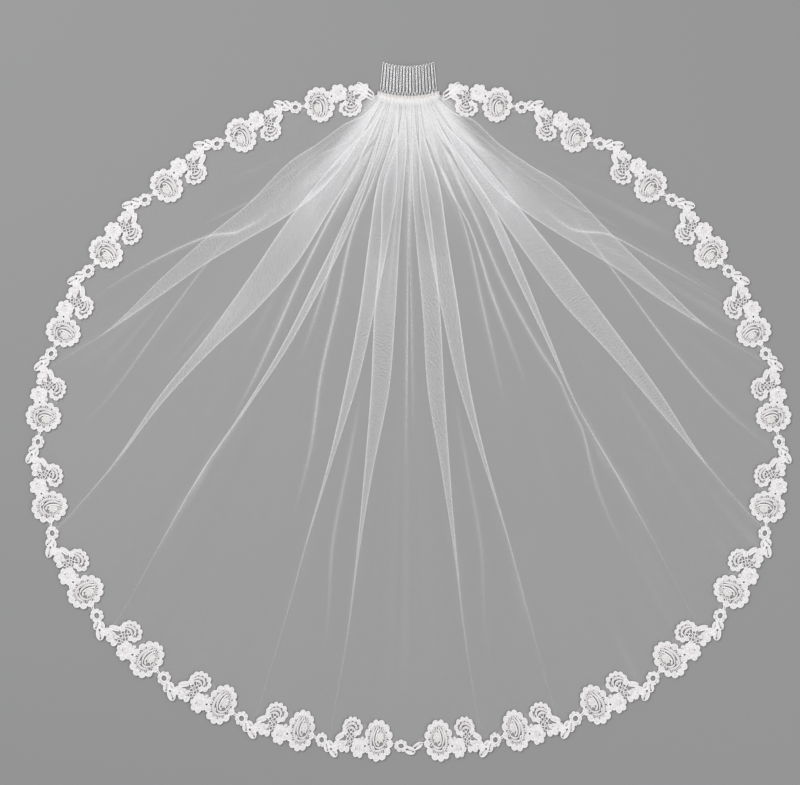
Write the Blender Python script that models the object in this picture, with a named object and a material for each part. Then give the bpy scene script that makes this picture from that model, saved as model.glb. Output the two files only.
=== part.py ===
"""A fingertip bridal veil laid flat: one tier of tulle gathered on a wire comb, edged all round with corded lace."""

import math
from collections import namedtuple

import bmesh
import bpy
from mathutils import Vector

MM = 0.001

# Driving sizes, in metres. X runs across the veil, Y from the hem up to the comb, Z off the floor.
CLOTH = 1.0 * MM
SEAM_GAP = 0.3 * MM

# The line that the lace follows: half an oval above its widest place and a squarer half below it. A power of 2
# gives an ellipse, more gives fuller corners and less gives slacker ones.
OVAL_HALF_WIDTH = 512.5 * MM
OVAL_ABOVE = 486.5 * MM
OVAL_ABOVE_POWER = 1.92
OVAL_BELOW = 422 * MM
OVAL_BELOW_POWER = 2.12
OVAL_START_ANGLE = 172
OVAL_STEPS = 720

# The tulle runs on past that line
TULLE_PAST_LINE = 8 * MM

# The comb: an arched bar that is also bowed in plan, with hairpin teeth of round wire
COMB_HALF_WIDTH = 41 * MM
COMB_BASE = 479.5 * MM
COMB_BOW = 7 * MM
COMB_ARCH = 6 * MM
BAR_RADIUS = 1.2 * MM
TOOTH_COUNT = 17
TOOTH_PITCH = 4.75 * MM
TOOTH_LENGTH = 43 * MM
TOOTH_CLOSING = 0.9
WIRE_RADIUS = 0.5 * MM
NECK_HALF = 0.8 * MM
LOOP_HALF = 1.55 * MM
KNEE_AT = 4.5 * MM
LOOP_FROM = 8.5 * MM

# The binding over the bar, as a roof whose section goes from the teeth to the gathers
BINDING_HALF_WIDTH = 43.5 * MM
SectionPoint = namedtuple("SectionPoint", "back up")
BINDING_SECTION = (
    SectionPoint(back=0.0 * MM, up=2.0 * MM),
    SectionPoint(back=0.9 * MM, up=3.5 * MM),
    SectionPoint(back=2.8 * MM, up=4.9 * MM),
    SectionPoint(back=4.6 * MM, up=6.0 * MM),
    SectionPoint(back=8.0 * MM, up=6.4 * MM),
)

# The gathered edge of the tulle, under the binding
GATHER_HALF_WIDTH = 43 * MM
GATHER_BEHIND_BASE = 4.2 * MM
END_SLOT = 2.6 * MM
CENTRE_SLOT = 5.4 * MM
ARCH_FADES_BY = 0.15

# Folds of one side from the outermost to the centre. Angles go round the hem from its bottom centre, in degrees.
# Leaves is how steeply the fold leaves the comb, 90 for straight down. Lap is the width that lies over the cloth
# beside it, none for a soft crease. End is the part of its length where the lap has closed or the crease is gone.
Fold = namedtuple("Fold", "left_angle right_angle leaves lap end")
FOLDS = (
    Fold(left_angle=113, right_angle=112, leaves=46, lap=0, end=0.8),
    Fold(left_angle=101, right_angle=102, leaves=53, lap=42 * MM, end=0.78),
    Fold(left_angle=86, right_angle=87, leaves=60, lap=0, end=0.80),
    Fold(left_angle=75, right_angle=76, leaves=62, lap=42 * MM, end=0.78),
    Fold(left_angle=55, right_angle=52, leaves=70, lap=10 * MM, end=0.78),
    Fold(left_angle=40, right_angle=41, leaves=74, lap=0, end=0.60),
    Fold(left_angle=31, right_angle=32, leaves=78, lap=0, end=0.60),
    Fold(left_angle=23, right_angle=22, leaves=85, lap=25 * MM, end=0.78),
    Fold(left_angle=16, right_angle=15, leaves=88, lap=0, end=0.8),
    Fold(left_angle=11, right_angle=10, leaves=90, lap=28 * MM, end=0.78),
    Fold(left_angle=1.5, right_angle=2, leaves=90, lap=0, end=0.60),
)
EDGE_LEAVES = -6
STRAIGHT_PART = 0.4

# Rings from the comb to the hem: the part of the way out, and how high the gathers stand there
Ring = namedtuple("Ring", "out rise")
RINGS = (
    Ring(out=0.0, rise=2.2 * MM),
    Ring(out=0.025, rise=4.2 * MM),
    Ring(out=0.06, rise=8.0 * MM),
    Ring(out=0.12, rise=6.0 * MM),
    Ring(out=0.22, rise=3.4 * MM),
    Ring(out=0.38, rise=2.6 * MM),
    Ring(out=0.58, rise=2.4 * MM),
    Ring(out=0.78, rise=2.0 * MM),
    Ring(out=0.92, rise=0.0 * MM),
    Ring(out=1.0, rise=0.0 * MM),
)
FLAT_FROM = 0.92
LAYER_STEP = 1.6 * MM
FULL_LAP = 6 * MM
PLAIN_SPACING = 100 * MM
CREASE_SPREADS_OVER = 14 * MM

# Lace: twelve roses a side, each with its leaf spray, bud and small flower before it and a ring and leaves after it.
# It is eased round the hem, so the gaps between roses are uneven, and its pieces draw together with them.
LACE_REPEAT = 126 * MM
FIRST_ROSE_AT = 80.5 * MM
ROSE_GAPS_MM = (117, 127, 126, 127, 122, 127, 130, 129, 122, 118, 107)
LACE_LIFT = CLOTH + SEAM_GAP
LACE_THICK = 1.3 * MM
LACE_RELIEF = 1.3 * MM
LACE_FULLER_BELOW = 0.18

OBJECTS = []


def material(name, colour, roughness, metallic):
    made = bpy.data.materials.new(name)
    made.use_nodes = True
    shader = made.node_tree.nodes["Principled BSDF"]
    shader.inputs["Base Color"].default_value = (*colour, 1)
    shader.inputs["Roughness"].default_value = roughness
    shader.inputs["Metallic"].default_value = metallic
    made.diffuse_color = (*colour, 1)
    return made


def add(name, data, look):
    piece = bpy.data.objects.new(name, data)
    data.materials.append(look)
    bpy.context.scene.collection.objects.link(piece)
    OBJECTS.append(piece)
    return piece


def mesh_of(name, points, faces):
    """A closed mesh with its faces turned outwards."""
    form = bmesh.new()
    corners = [form.verts.new(point) for point in points]
    for face in faces:
        form.faces.new([corners[i] for i in face])
    bmesh.ops.recalc_face_normals(form, faces=form.faces)
    data = bpy.data.meshes.new(name)
    form.to_mesh(data)
    form.free()
    return data


def oval_point(degrees, side):
    """The point of the lace line at an angle from the bottom centre, on side -1 (left) or 1 (right)."""
    across = math.sin(math.radians(degrees))
    up = -math.cos(math.radians(degrees))
    power = 2 / (OVAL_ABOVE_POWER if up > 0 else OVAL_BELOW_POWER)
    height = OVAL_ABOVE if up > 0 else OVAL_BELOW
    reach = math.copysign(abs(across) ** power, across)
    return Vector((side * OVAL_HALF_WIDTH * reach, height * math.copysign(abs(up) ** power, up), 0))


def oval_normal(degrees, side):
    along = oval_point(degrees - 0.2, side) - oval_point(degrees + 0.2, side)
    return Vector((-side * along.y, side * along.x, 0)).normalized()


def oval_lengths():
    """How far each of the even steps of angle lies from the comb end of the lace line."""
    angles = [OVAL_START_ANGLE * (1 - i / OVAL_STEPS) for i in range(OVAL_STEPS + 1)]
    lengths = [(oval_point(OVAL_START_ANGLE, 1) - lace_start(1)).length]
    for before, after in zip(angles, angles[1:]):
        lengths.append(lengths[-1] + (oval_point(after, 1) - oval_point(before, 1)).length)
    return angles, lengths


def lace_start(side):
    """Where the lace meets the end of the binding."""
    return Vector((side * (BINDING_HALF_WIDTH + 1.5 * MM), comb_line(BINDING_HALF_WIDTH) - 6 * MM, 0))


def comb_line(across):
    return COMB_BASE + COMB_BOW * (across / COMB_HALF_WIDTH) ** 2


def arch(across):
    return COMB_ARCH * max(0.0, 1 - (across / COMB_HALF_WIDTH) ** 2)


def oval_angle_at(distance):
    """The angle of the lace line at a length measured from the comb."""
    for i in range(OVAL_STEPS):
        if OVAL_LENGTHS[i + 1] >= distance:
            part = (distance - OVAL_LENGTHS[i]) / (OVAL_LENGTHS[i + 1] - OVAL_LENGTHS[i])
            return OVAL_ANGLES[i] + (OVAL_ANGLES[i + 1] - OVAL_ANGLES[i]) * part
    return 0.0


def tulle_edge(degrees, side):
    return oval_point(degrees, side) + oval_normal(degrees, side) * TULLE_PAST_LINE


# Places of the folds across the gathered edge and round the hem

def fold_slots():
    """For each fold from the left end to the right: where it starts and ends, how it leaves the comb, its row."""
    inner_gaps = 2 * (len(FOLDS) - 1)
    pitch = (2 * GATHER_HALF_WIDTH - 2 * END_SLOT - CENTRE_SLOT) / inner_gaps
    first = -GATHER_HALF_WIDTH + END_SLOT
    starts = [-GATHER_HALF_WIDTH] + [first + pitch * i for i in range(len(FOLDS))]
    starts += [-start for start in reversed(starts)]
    ends = [-OVAL_START_ANGLE] + [-fold.left_angle for fold in FOLDS]
    ends += [fold.right_angle for fold in reversed(FOLDS)] + [OVAL_START_ANGLE]
    leaves = [EDGE_LEAVES] + [fold.leaves for fold in FOLDS]
    leaves += [180 - turn for turn in reversed(leaves)]
    rows = [None] + list(FOLDS) + list(reversed(FOLDS)) + [None]
    return starts, ends, leaves, rows


def between(values, place):
    low = min(int(place), len(values) - 2)
    return values[low] + (values[low + 1] - values[low]) * (place - low)


def tulle_point(place, out):
    """A point of the smooth sheet: place counts folds from the left end, out goes from comb to hem."""
    start = between(STARTS, place)
    degrees = between(ENDS, place)
    leaves = math.radians(between(LEAVES, place))
    near = Vector((start, comb_line(start) - GATHER_BEHIND_BASE, 0))
    far = tulle_edge(abs(degrees), math.copysign(1, degrees))
    straight = (far - near).length * STRAIGHT_PART
    turn = near - Vector((math.cos(leaves), math.sin(leaves), 0)) * straight
    point = near.lerp(turn, out).lerp(turn.lerp(far, out), out)
    point.z = arch(start) * max(0.0, 1 - out / ARCH_FADES_BY) ** 2
    return point


def tulle_direction(place, out):
    last = len(STARTS) - 1
    ahead = tulle_point(min(last, place + 0.05), out)
    behind = tulle_point(max(0, place - 0.05), out)
    along = ahead - behind
    along.z = 0
    return along.normalized()


def lap_section(leg, room, swell):
    """Points (along, up) through a fold whose loop leans as far over to the left as its room lets it.

    Standing, the loop is two legs side by side. Lying, it is two layers on the cloth beside it. With no
    leg left it is a step, and as swell goes to nothing that step sinks into the flat cloth."""
    over = min(1.0, room / leg) if leg > 0 else 1.0
    stand = math.sqrt(1 - over * over)
    half = LAYER_STEP / 2
    foot = Vector((0, LAYER_STEP * over))
    leaning = Vector((-over, stand))
    across = Vector((stand, over))
    lap = [
        Vector((0, 0)),
        Vector((half * over, half * over + 0.6 * LAYER_STEP * stand)),
        foot + leaning * 1.15 * LAYER_STEP * stand,
        foot + leaning * leg,
        foot + leaning * (leg + half) + across * half,
        foot + leaning * leg + across * LAYER_STEP,
        foot + across * LAYER_STEP + Vector((0.65 * over, 0.55 * stand)) * LAYER_STEP,
        Vector((LAYER_STEP * (stand + 0.3 + 1.9 * over), 0)),
    ]
    step_along = (0, 0, 0, 0, 0, 0.3, 1.0, 2.9)
    step_up = (0, 0.33, 0.67, 1.0, 1.4, 1.85, 2.0, 0)
    flat_along = (-2.1, -1.4, -0.7, 0, 0.7, 1.4, 2.2, 3.2)
    whole = min(1.0, leg / FULL_LAP) if over == 1.0 else 1.0
    section = []
    for i, point in enumerate(lap):
        step = Vector((step_along[i], step_up[i])) * LAYER_STEP
        flat = Vector((flat_along[i] * LAYER_STEP, 0))
        section.append(flat.lerp(step.lerp(point, whole), swell))
    return section


def crease_section(height, spacing):
    """Points (along, up) through a soft crease that stands narrow at the comb and widens where it has room."""
    spread = min(1.0, max(0.0, spacing - 3.2 * LAYER_STEP) / CREASE_SPREADS_OVER)
    crest = LAYER_STEP * (1 + 0.6 * spread)
    side = LAYER_STEP * (0.15 + 2.2 * spread)
    return [
        Vector((-side, 0)),
        Vector((0, height)),
        Vector((crest, height)),
        Vector((crest + side, 0)),
    ]


def fold_section(index, outer, taken, ring):
    """The section of one fold at one ring, in points (along, up), as it leans to the left.

    Outer is the place of the fold that it leans towards, and taken is how far that one reaches back."""
    row = ROWS[index]
    spacing = (tulle_point(index, ring.out) - tulle_point(outer, ring.out)).length
    if row.lap == 0:
        fading = max(0.0, 1 - ring.out / row.end) ** 0.5
        behind = (tulle_point(index, ring.out) - tulle_point(2 * index - outer, ring.out)).length
        section = crease_section(ring.rise * fading, min(spacing, 0.75 * behind))
    else:
        part = ring.out / row.end
        lap = row.lap * min(1.0, part / 0.25, max(0.0, 1 - part) / 0.55)
        room = max(0.0, min(0.8 * (spacing - 2.1 * LAYER_STEP), spacing - taken - 2 * LAYER_STEP))
        standing = ring.rise if ring.out < 0.2 else 0
        leg = max(standing, min(lap, room))
        swell = 1.0 if part < 1 else max(0.0, (FLAT_FROM - ring.out) / (FLAT_FROM - row.end))
        section = lap_section(leg, room, swell)
    return section


def ring_sections(ring):
    """The sections of all folds at one ring, each side worked out from its outermost fold inwards."""
    last = len(STARTS) - 1
    sections = [[Vector((0, 0))] for _ in STARTS]
    left_taken = 0.0
    right_taken = 0.0
    for index in range(1, len(FOLDS) + 1):
        sections[index] = fold_section(index, index - 1, left_taken, ring)
        left_taken = sections[index][-1].x
        mirrored = fold_section(last - index, last - index + 1, right_taken, ring)
        right_taken = mirrored[-1].x
        sections[last - index] = [Vector((-point.x, point.y)) for point in reversed(mirrored)]
    return sections


def wall_offsets(section):
    """For each point of a section the step to the cloth's upper face, mitred at the corners."""
    level = Vector((1, 0))
    steps = [(b - a).normalized() for a, b in zip(section, section[1:])]
    arriving = [level] + steps
    leaving = steps + [level]
    offsets = []
    for before, after in zip(arriving, leaving):
        first = Vector((-before.y, before.x))
        second = Vector((-after.y, after.x))
        middle = (first + second).normalized()
        offsets.append(middle * (CLOTH / 2) / max(0.7, middle.dot(second)))
    return offsets


def tulle_ring(ring):
    """The upper and lower points of the cloth along one ring."""
    upper = []
    lower = []
    last = len(STARTS) - 1
    sections = ring_sections(ring)

    def plain(place):
        point = tulle_point(place, ring.out) + Vector((0, 0, CLOTH / 2))
        upper.append(point + Vector((0, 0, CLOTH / 2)))
        lower.append(point - Vector((0, 0, CLOTH / 2)))

    plain(0)
    right_reach = 0.0
    for index in range(1, last + 1):
        spacing = (tulle_point(index, ring.out) - tulle_point(index - 1, ring.out)).length
        section = sections[index]
        start = index - 1 + (right_reach + 0.3 * MM) / spacing
        stop = index + (min(0.0, section[0].x) - 0.3 * MM) / spacing
        count = PLAIN_COUNTS[index - 1]
        for i in range(count):
            plain(start + (stop - start) * (i + 1) / (count + 1))
        if index == last:
            break
        root = tulle_point(index, ring.out) + Vector((0, 0, CLOTH / 2))
        along = tulle_direction(index, ring.out)
        for point, offset in zip(section, wall_offsets(section)):
            for side, wall in ((upper, 1), (lower, -1)):
                at = point + offset * wall
                side.append(root + along * at.x + Vector((0, 0, at.y)))
        right_reach = max(0.0, section[-1].x)
    plain(last)
    return upper, lower


def plain_counts():
    """How many plain points each stretch of hem between two folds needs to follow the oval."""
    counts = []
    for index in range(len(STARTS) - 1):
        length = 0.0
        for i in range(8):
            length += (tulle_point(index + (i + 1) / 8, 1.0) - tulle_point(index + i / 8, 1.0)).length
        counts.append(max(0, round(length / PLAIN_SPACING)))
    return counts


def make_tulle():
    rings = [tulle_ring(ring) for ring in RINGS]
    columns = len(rings[0][0])
    points = []
    for upper, lower in rings:
        points += upper + lower

    def at(ring, wall, column):
        return (ring * 2 + wall) * columns + column

    faces = []
    for ring in range(len(rings) - 1):
        for column in range(columns - 1):
            for wall in (0, 1):
                near = [at(ring, wall, column), at(ring, wall, column + 1)]
                far = [at(ring + 1, wall, column), at(ring + 1, wall, column + 1)]
                cut = 0 if column < columns // 2 else 1
                faces.append([near[0], near[1], far[1 - cut]])
                faces.append([near[cut], far[1], far[0]])
        for column in (0, columns - 1):
            near = [at(ring, wall, column) for wall in (0, 1)]
            far = [at(ring + 1, wall, column) for wall in (0, 1)]
            faces.append([near[0], far[0], far[1], near[1]])
    for column in range(columns - 1):
        for ring in (0, len(rings) - 1):
            here = [at(ring, wall, column) for wall in (0, 1)]
            beside = [at(ring, wall, column + 1) for wall in (0, 1)]
            faces.append([here[0], here[1], beside[1], beside[0]])
    add("tulle", mesh_of("tulle", points, faces), TULLE)


# Comb and its binding

def make_binding():
    """A strip of 1 mm over the bar, its section carried along the bowed and arched line of the comb."""
    stations = 9
    section = [Vector((-point.back, point.up)) for point in BINDING_SECTION]
    offsets = wall_offsets([Vector((-p.x, p.y)) for p in section])
    rows = []
    for i in range(stations):
        across = BINDING_HALF_WIDTH * (2 * i / (stations - 1) - 1)
        lift = arch(across)
        outline = []
        for wall in (1, -1):
            face = []
            for point, offset in zip(section, offsets):
                y = comb_line(across) + point.x - offset.x * wall
                face.append(Vector((across, y, point.y + offset.y * wall + lift)))
            outline += face if wall == 1 else face[::-1]
        rows.append(outline)
    size = len(rows[0])
    points = [point for row in rows for point in row]
    faces = [list(range(size)), list(range((stations - 1) * size, stations * size))]
    for i in range(stations - 1):
        for j in range(size):
            k = (j + 1) % size
            faces.append([i * size + j, i * size + k, (i + 1) * size + k, (i + 1) * size + j])
    add("gathering_band", mesh_of("gathering_band", points, faces), RIBBON)


def wire(name, path, radius, sides_beyond_four):
    """A round wire along a list of points, as a curve with a bevel and closed ends."""
    data = bpy.data.curves.new(name, "CURVE")
    data.dimensions = "3D"
    data.bevel_depth = radius
    data.bevel_resolution = sides_beyond_four
    data.use_fill_caps = True
    spline = data.splines.new("POLY")
    spline.points.add(len(path) - 1)
    for knot, point in zip(spline.points, path):
        knot.co = (*point, 1)
    return add(name, data, STEEL)


def make_comb():
    bar_behind = WIRE_RADIUS + BAR_RADIUS + 1.5 * SEAM_GAP
    bar = []
    for i in range(9):
        across = COMB_HALF_WIDTH * (i / 4 - 1)
        bar.append((across, comb_line(across) - bar_behind, BAR_RADIUS + arch(across)))
    wire("comb_bar", bar, BAR_RADIUS, 2)
    for i in range(TOOTH_COUNT):
        root = (i - (TOOTH_COUNT - 1) / 2) * TOOTH_PITCH
        level = WIRE_RADIUS + arch(root)
        half = [
            (NECK_HALF, -WIRE_RADIUS),
            (NECK_HALF, KNEE_AT),
            (LOOP_HALF, LOOP_FROM),
            (LOOP_HALF - 0.1 * MM, TOOTH_LENGTH - 1.6 * MM),
        ]
        outline = [(-x, y) for x, y in half] + [(0, TOOTH_LENGTH)] + half[::-1]
        path = []
        for x, y in outline:
            closing = 1 - (1 - TOOTH_CLOSING) * max(0, y) / TOOTH_LENGTH
            path.append((root * closing + x, comb_line(root + x) + y, level))
        wire(f"comb_tooth_{i + 1:02d}", path, WIRE_RADIUS, 1)


# Lace, drawn flat with s along the hem from the rose's centre, away from the comb, and n outwards

def plate(outline, low, high):
    """A flat-topped piece from its outline."""
    count = len(outline)
    points = [(s, n, low) for s, n in outline] + [(s, n, high) for s, n in outline]
    faces = [list(range(count)), list(range(count, 2 * count))]
    for i in range(count):
        k = (i + 1) % count
        faces.append([i, k, count + k, count + i])
    return mesh_of("lace piece", points, faces)


def oval_outline(s, n, length, width, turn, count):
    turned = math.radians(turn)
    outline = []
    for i in range(count):
        angle = 2 * math.pi * i / count
        x = length / 2 * math.cos(angle)
        y = width / 2 * math.sin(angle)
        along = x * math.cos(turned) - y * math.sin(turned)
        out = x * math.sin(turned) + y * math.cos(turned)
        outline.append((s + along, n + out))
    return outline


def rose_form():
    """Eleven scallops round a raised heart."""
    lobes = 11
    along = 22 * MM
    out = 24 * MM
    points = []
    for low, part, count in ((0, 1, 2 * lobes), (LACE_THICK, 1, 2 * lobes), (LACE_THICK + LACE_RELIEF, 0.6, lobes)):
        for i in range(count):
            angle = 2 * math.pi * i / count
            dip = 0.86 if count == 2 * lobes and i % 2 else 1
            points.append((along * part * dip * math.cos(angle), out * part * dip * math.sin(angle), low))
    rim = 2 * lobes
    faces = [list(range(rim)), list(range(2 * rim, 2 * rim + lobes))]
    for i in range(rim):
        k = (i + 1) % rim
        faces.append([i, k, rim + k, rim + i])
    for i in range(lobes):
        k = (i + 1) % lobes
        peak = rim + 2 * i
        dip = peak + 1
        following = rim + (2 * i + 2) % rim
        faces.append([peak, dip, 2 * rim + i])
        faces.append([dip, following, 2 * rim + k])
        faces.append([dip, 2 * rim + k, 2 * rim + i])
    return mesh_of("rose", points, faces)


def flower_outline():
    """Five blunt petals beside the rose."""
    s, n = -30 * MM, 11.5 * MM
    reach = 10.8 * MM
    outline = []
    for petal in range(5):
        for turn in (-0.36, 0.36):
            angle = 2 * math.pi * (petal + 0.2) / 5 + turn
            outline.append((s + reach * math.cos(angle), n + reach * math.sin(angle)))
    return outline


SPRAY_OUTLINE = (
    (-66, 0), (-67, 10), (-58, 19), (-38, 16), (-18, 3), (-18, -7), (-36, -14), (-58, -6),
)
BUD_OUTLINE = (
    (-53, -5), (-58, -14), (-53, -21), (-43, -24), (-35, -20), (-34, -12), (-38, -6),
)
FIRST_LEAF_OUTLINE = (
    (-76, 2), (-75, 9), (-68, 18), (-58, 23), (-54, 14), (-62, 3), (-69, 1),
)


def in_mm(outline):
    return [(s * MM, n * MM) for s, n in outline]


def joined(name, forms):
    """Overlapping forms made one closed body, flat faces merged."""
    pieces = []
    for form in forms:
        piece = bpy.data.objects.new(name, form)
        bpy.context.scene.collection.objects.link(piece)
        pieces.append(piece)
    for other in pieces[1:]:
        union = pieces[0].modifiers.new("union", "BOOLEAN")
        union.operation = "UNION"
        union.solver = "EXACT"
        union.object = other
    bpy.context.view_layer.update()
    whole = bmesh.new()
    whole.from_object(pieces[0], bpy.context.evaluated_depsgraph_get())
    for piece in pieces:
        bpy.data.objects.remove(piece)
    bmesh.ops.remove_doubles(whole, verts=whole.verts, dist=0.02 * MM)
    bmesh.ops.dissolve_limit(whole, angle_limit=math.radians(1), verts=whole.verts, edges=whole.edges)
    bmesh.ops.triangulate(whole, faces=whole.faces)
    return whole


def ring_form(s, n):
    """A small ring with its eye cut through."""
    outer = oval_outline(s, n, 18 * MM, 14.5 * MM, 40, 8)
    inner = oval_outline(s, n, 7.6 * MM, 6.0 * MM, 40, 8)
    points = []
    for level in (0, LACE_THICK):
        points += [(*at, level) for at in outer] + [(*at, level) for at in inner]
    faces = []
    for i in range(8):
        k = (i + 1) % 8
        faces.append([i, k, 16 + k, 16 + i])
        faces.append([8 + k, 8 + i, 24 + i, 24 + k])
        faces.append([k, i, 8 + i, 8 + k])
        faces.append([16 + i, 16 + k, 24 + k, 24 + i])
    return mesh_of("ring", points, faces)


def repeat_forms(first, last):
    """The pieces of one repeat of the lace. The one by the comb has a leaf more, the last ends at its rose."""
    forms = [
        rose_form(),
        plate(in_mm(SPRAY_OUTLINE), 0, 1.15 * LACE_THICK),
        plate(in_mm(BUD_OUTLINE), 0, 1.6 * LACE_THICK),
        plate(flower_outline(), 0, 1.8 * LACE_THICK),
    ]
    if first:
        forms.append(plate(in_mm(FIRST_LEAF_OUTLINE), 0, LACE_THICK))
    if not last:
        forms.append(plate(in_mm(((18, 0), (29, 2), (29, 6), (18, 5))), 0, 0.8 * LACE_THICK))
        forms.append(ring_form(34.5 * MM, 5 * MM))
        forms.append(plate(oval_outline(46 * MM, 10.5 * MM, 14 * MM, 9 * MM, 30, 6), 0, 1.25 * LACE_THICK))
        forms.append(plate(oval_outline(54.5 * MM, 18 * MM, 14 * MM, 7.5 * MM, 45, 6), 0, LACE_THICK))
    return forms


def lace_point(distance, out, side):
    """The point that lies a length from the comb along the lace line and a step outwards from it."""
    start = OVAL_LENGTHS[0]
    if distance < start:
        way = oval_point(OVAL_START_ANGLE, side) - lace_start(side)
        centre = lace_start(side) + way * (distance / start)
        degrees = OVAL_START_ANGLE
    else:
        degrees = oval_angle_at(distance)
        centre = oval_point(degrees, side)
    fuller = 1 + LACE_FULLER_BELOW * min(1.0, max(0.0, (85 - degrees) / 60))
    return centre + oval_normal(degrees, side) * out * fuller


def make_lace():
    gaps = [gap * MM for gap in ROSE_GAPS_MM]
    rose_at = FIRST_ROSE_AT
    for count, (gap_before, gap_after) in enumerate(zip([LACE_REPEAT] + gaps, gaps + [LACE_REPEAT]), 1):
        whole = joined("repeat", repeat_forms(count == 1, count > len(gaps)))
        for side, word in ((-1, "left"), (1, "right")):
            bent = whole.copy()
            for corner in bent.verts:
                drawn = (gap_before if corner.co.x < 0 else gap_after) / LACE_REPEAT
                at = lace_point(rose_at + corner.co.x * drawn, corner.co.y, side)
                corner.co = (at.x, at.y, LACE_LIFT + corner.co.z)
            bent.normal_update()
            bmesh.ops.recalc_face_normals(bent, faces=bent.faces)
            name = f"lace_{word}_{count:02d}"
            data = bpy.data.meshes.new(name)
            bent.to_mesh(data)
            bent.free()
            add(name, data, LACE)
        whole.free()
        rose_at += gap_after


def make_lace_link():
    """The ring, leaf and curled petal that close the lace at the bottom centre, drawn from that centre."""
    forms = [
        plate(in_mm(((-23, 1), (-16, 3), (-16, 7), (-23, 5))), 0, 0.8 * LACE_THICK),
        ring_form(-10.5 * MM, 6 * MM),
        plate(oval_outline(2 * MM, 12.5 * MM, 18 * MM, 12 * MM, 20, 8), 0, 1.25 * LACE_THICK),
        plate(oval_outline(13 * MM, 6 * MM, 17 * MM, 9 * MM, -35, 8), 0, LACE_THICK),
    ]
    whole = joined("link", forms)
    bottom = oval_point(0, 1)
    for corner in whole.verts:
        corner.co = (bottom.x + corner.co.x, bottom.y - corner.co.y, LACE_LIFT + corner.co.z)
    whole.normal_update()
    bmesh.ops.recalc_face_normals(whole, faces=whole.faces)
    data = bpy.data.meshes.new("lace_bottom_link")
    whole.to_mesh(data)
    whole.free()
    add("lace_bottom_link", data, LACE)


def stand_on_origin():
    """Moves the whole veil so that the middle of its box is above the origin and it rests on the floor."""
    bpy.context.view_layer.update()
    graph = bpy.context.evaluated_depsgraph_get()
    points = []
    for piece in OBJECTS:
        form = piece.evaluated_get(graph)
        data = form.to_mesh()
        points += [vertex.co.copy() for vertex in data.vertices]
        form.to_mesh_clear()
    low = [min(point[axis] for point in points) for axis in range(3)]
    high = [max(point[axis] for point in points) for axis in range(3)]
    for piece in OBJECTS:
        piece.location = (-(low[0] + high[0]) / 2, -(low[1] + high[1]) / 2, -low[2])


for old in list(bpy.data.objects):
    bpy.data.objects.remove(old)

TULLE = material("tulle", (0.86, 0.85, 0.87), 0.6, 0)
LACE = material("lace", (0.9, 0.87, 0.88), 0.55, 0)
RIBBON = material("ribbon", (0.9, 0.88, 0.86), 0.5, 0)
STEEL = material("steel", (0.75, 0.75, 0.76), 0.2, 1)

OVAL_ANGLES, OVAL_LENGTHS = oval_lengths()
STARTS, ENDS, LEAVES, ROWS = fold_slots()
PLAIN_COUNTS = plain_counts()

make_tulle()
make_binding()
make_comb()
make_lace()
make_lace_link()
stand_on_origin()
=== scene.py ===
"""A fingertip bridal veil laid flat and seen from above: a wire comb, gathered tulle and corded lace."""

import math

import bpy
import numpy as np
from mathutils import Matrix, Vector


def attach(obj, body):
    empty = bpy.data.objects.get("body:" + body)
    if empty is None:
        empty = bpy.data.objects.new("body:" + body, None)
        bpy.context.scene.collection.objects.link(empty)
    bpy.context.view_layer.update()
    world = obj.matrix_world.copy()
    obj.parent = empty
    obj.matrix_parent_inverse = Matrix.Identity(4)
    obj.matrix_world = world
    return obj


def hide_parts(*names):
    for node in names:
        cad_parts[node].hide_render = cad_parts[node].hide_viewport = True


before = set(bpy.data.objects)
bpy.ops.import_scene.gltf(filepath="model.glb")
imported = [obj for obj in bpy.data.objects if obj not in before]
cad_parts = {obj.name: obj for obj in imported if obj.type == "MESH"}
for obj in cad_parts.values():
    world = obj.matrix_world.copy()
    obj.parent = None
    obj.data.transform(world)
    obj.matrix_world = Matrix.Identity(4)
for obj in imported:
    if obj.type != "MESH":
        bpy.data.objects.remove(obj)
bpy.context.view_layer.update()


# Comb teeth
# Seventeen hairpins of bright plated spring wire, soldered side by side along a bowed bar. Each leaves
# the bar as a close pair of wires, steps outwards at a small knee, and ends in a rounded loop.

class Shade:
    """A value of a material's nodes that is added and multiplied as a plain number is."""

    def __init__(self, tree, socket=None):
        self.tree = tree
        self.socket = socket

    def node(self, kind, settings, values, result=0):
        made = self.tree.nodes.new(kind)
        for name, setting in settings.items():
            setattr(made, name, setting)
        for name, value in values.items():
            if isinstance(value, Shade):
                self.tree.links.new(value.socket, made.inputs[name])
            else:
                made.inputs[name].default_value = value
        return Shade(self.tree, made.outputs[result])

    def sum(self, operation, first, second, clamp=False):
        settings = {"operation": operation, "use_clamp": clamp}
        return self.node("ShaderNodeMath", settings, {0: first, 1: second})

    def __add__(self, other):
        return self.sum("ADD", self, other)

    __radd__ = __add__

    def __mul__(self, other):
        return self.sum("MULTIPLY", self, other)

    __rmul__ = __mul__

    def __sub__(self, other):
        return self.sum("SUBTRACT", self, other)

    def __rsub__(self, other):
        return self.sum("SUBTRACT", other, self)

    def clamped(self):
        return self.sum("ADD", self, 0.0, clamp=True)

    def wave(self):
        """Half the sine of the value, raised to run from 0 to 1."""
        return self.sum("SINE", self, 0.0) * 0.5 + 0.5

    def mixed(self, low, high):
        """The colour from low to high at this value. A Mix node takes its two colours at 6 and 7."""
        return self.node("ShaderNodeMix", {"data_type": "RGBA"}, {0: self, 6: low, 7: high}, 2)

    def noise(self, place, scale, detail=2.0):
        return self.node("ShaderNodeTexNoise", {}, {"Vector": place, "Scale": scale, "Detail": detail})


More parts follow.
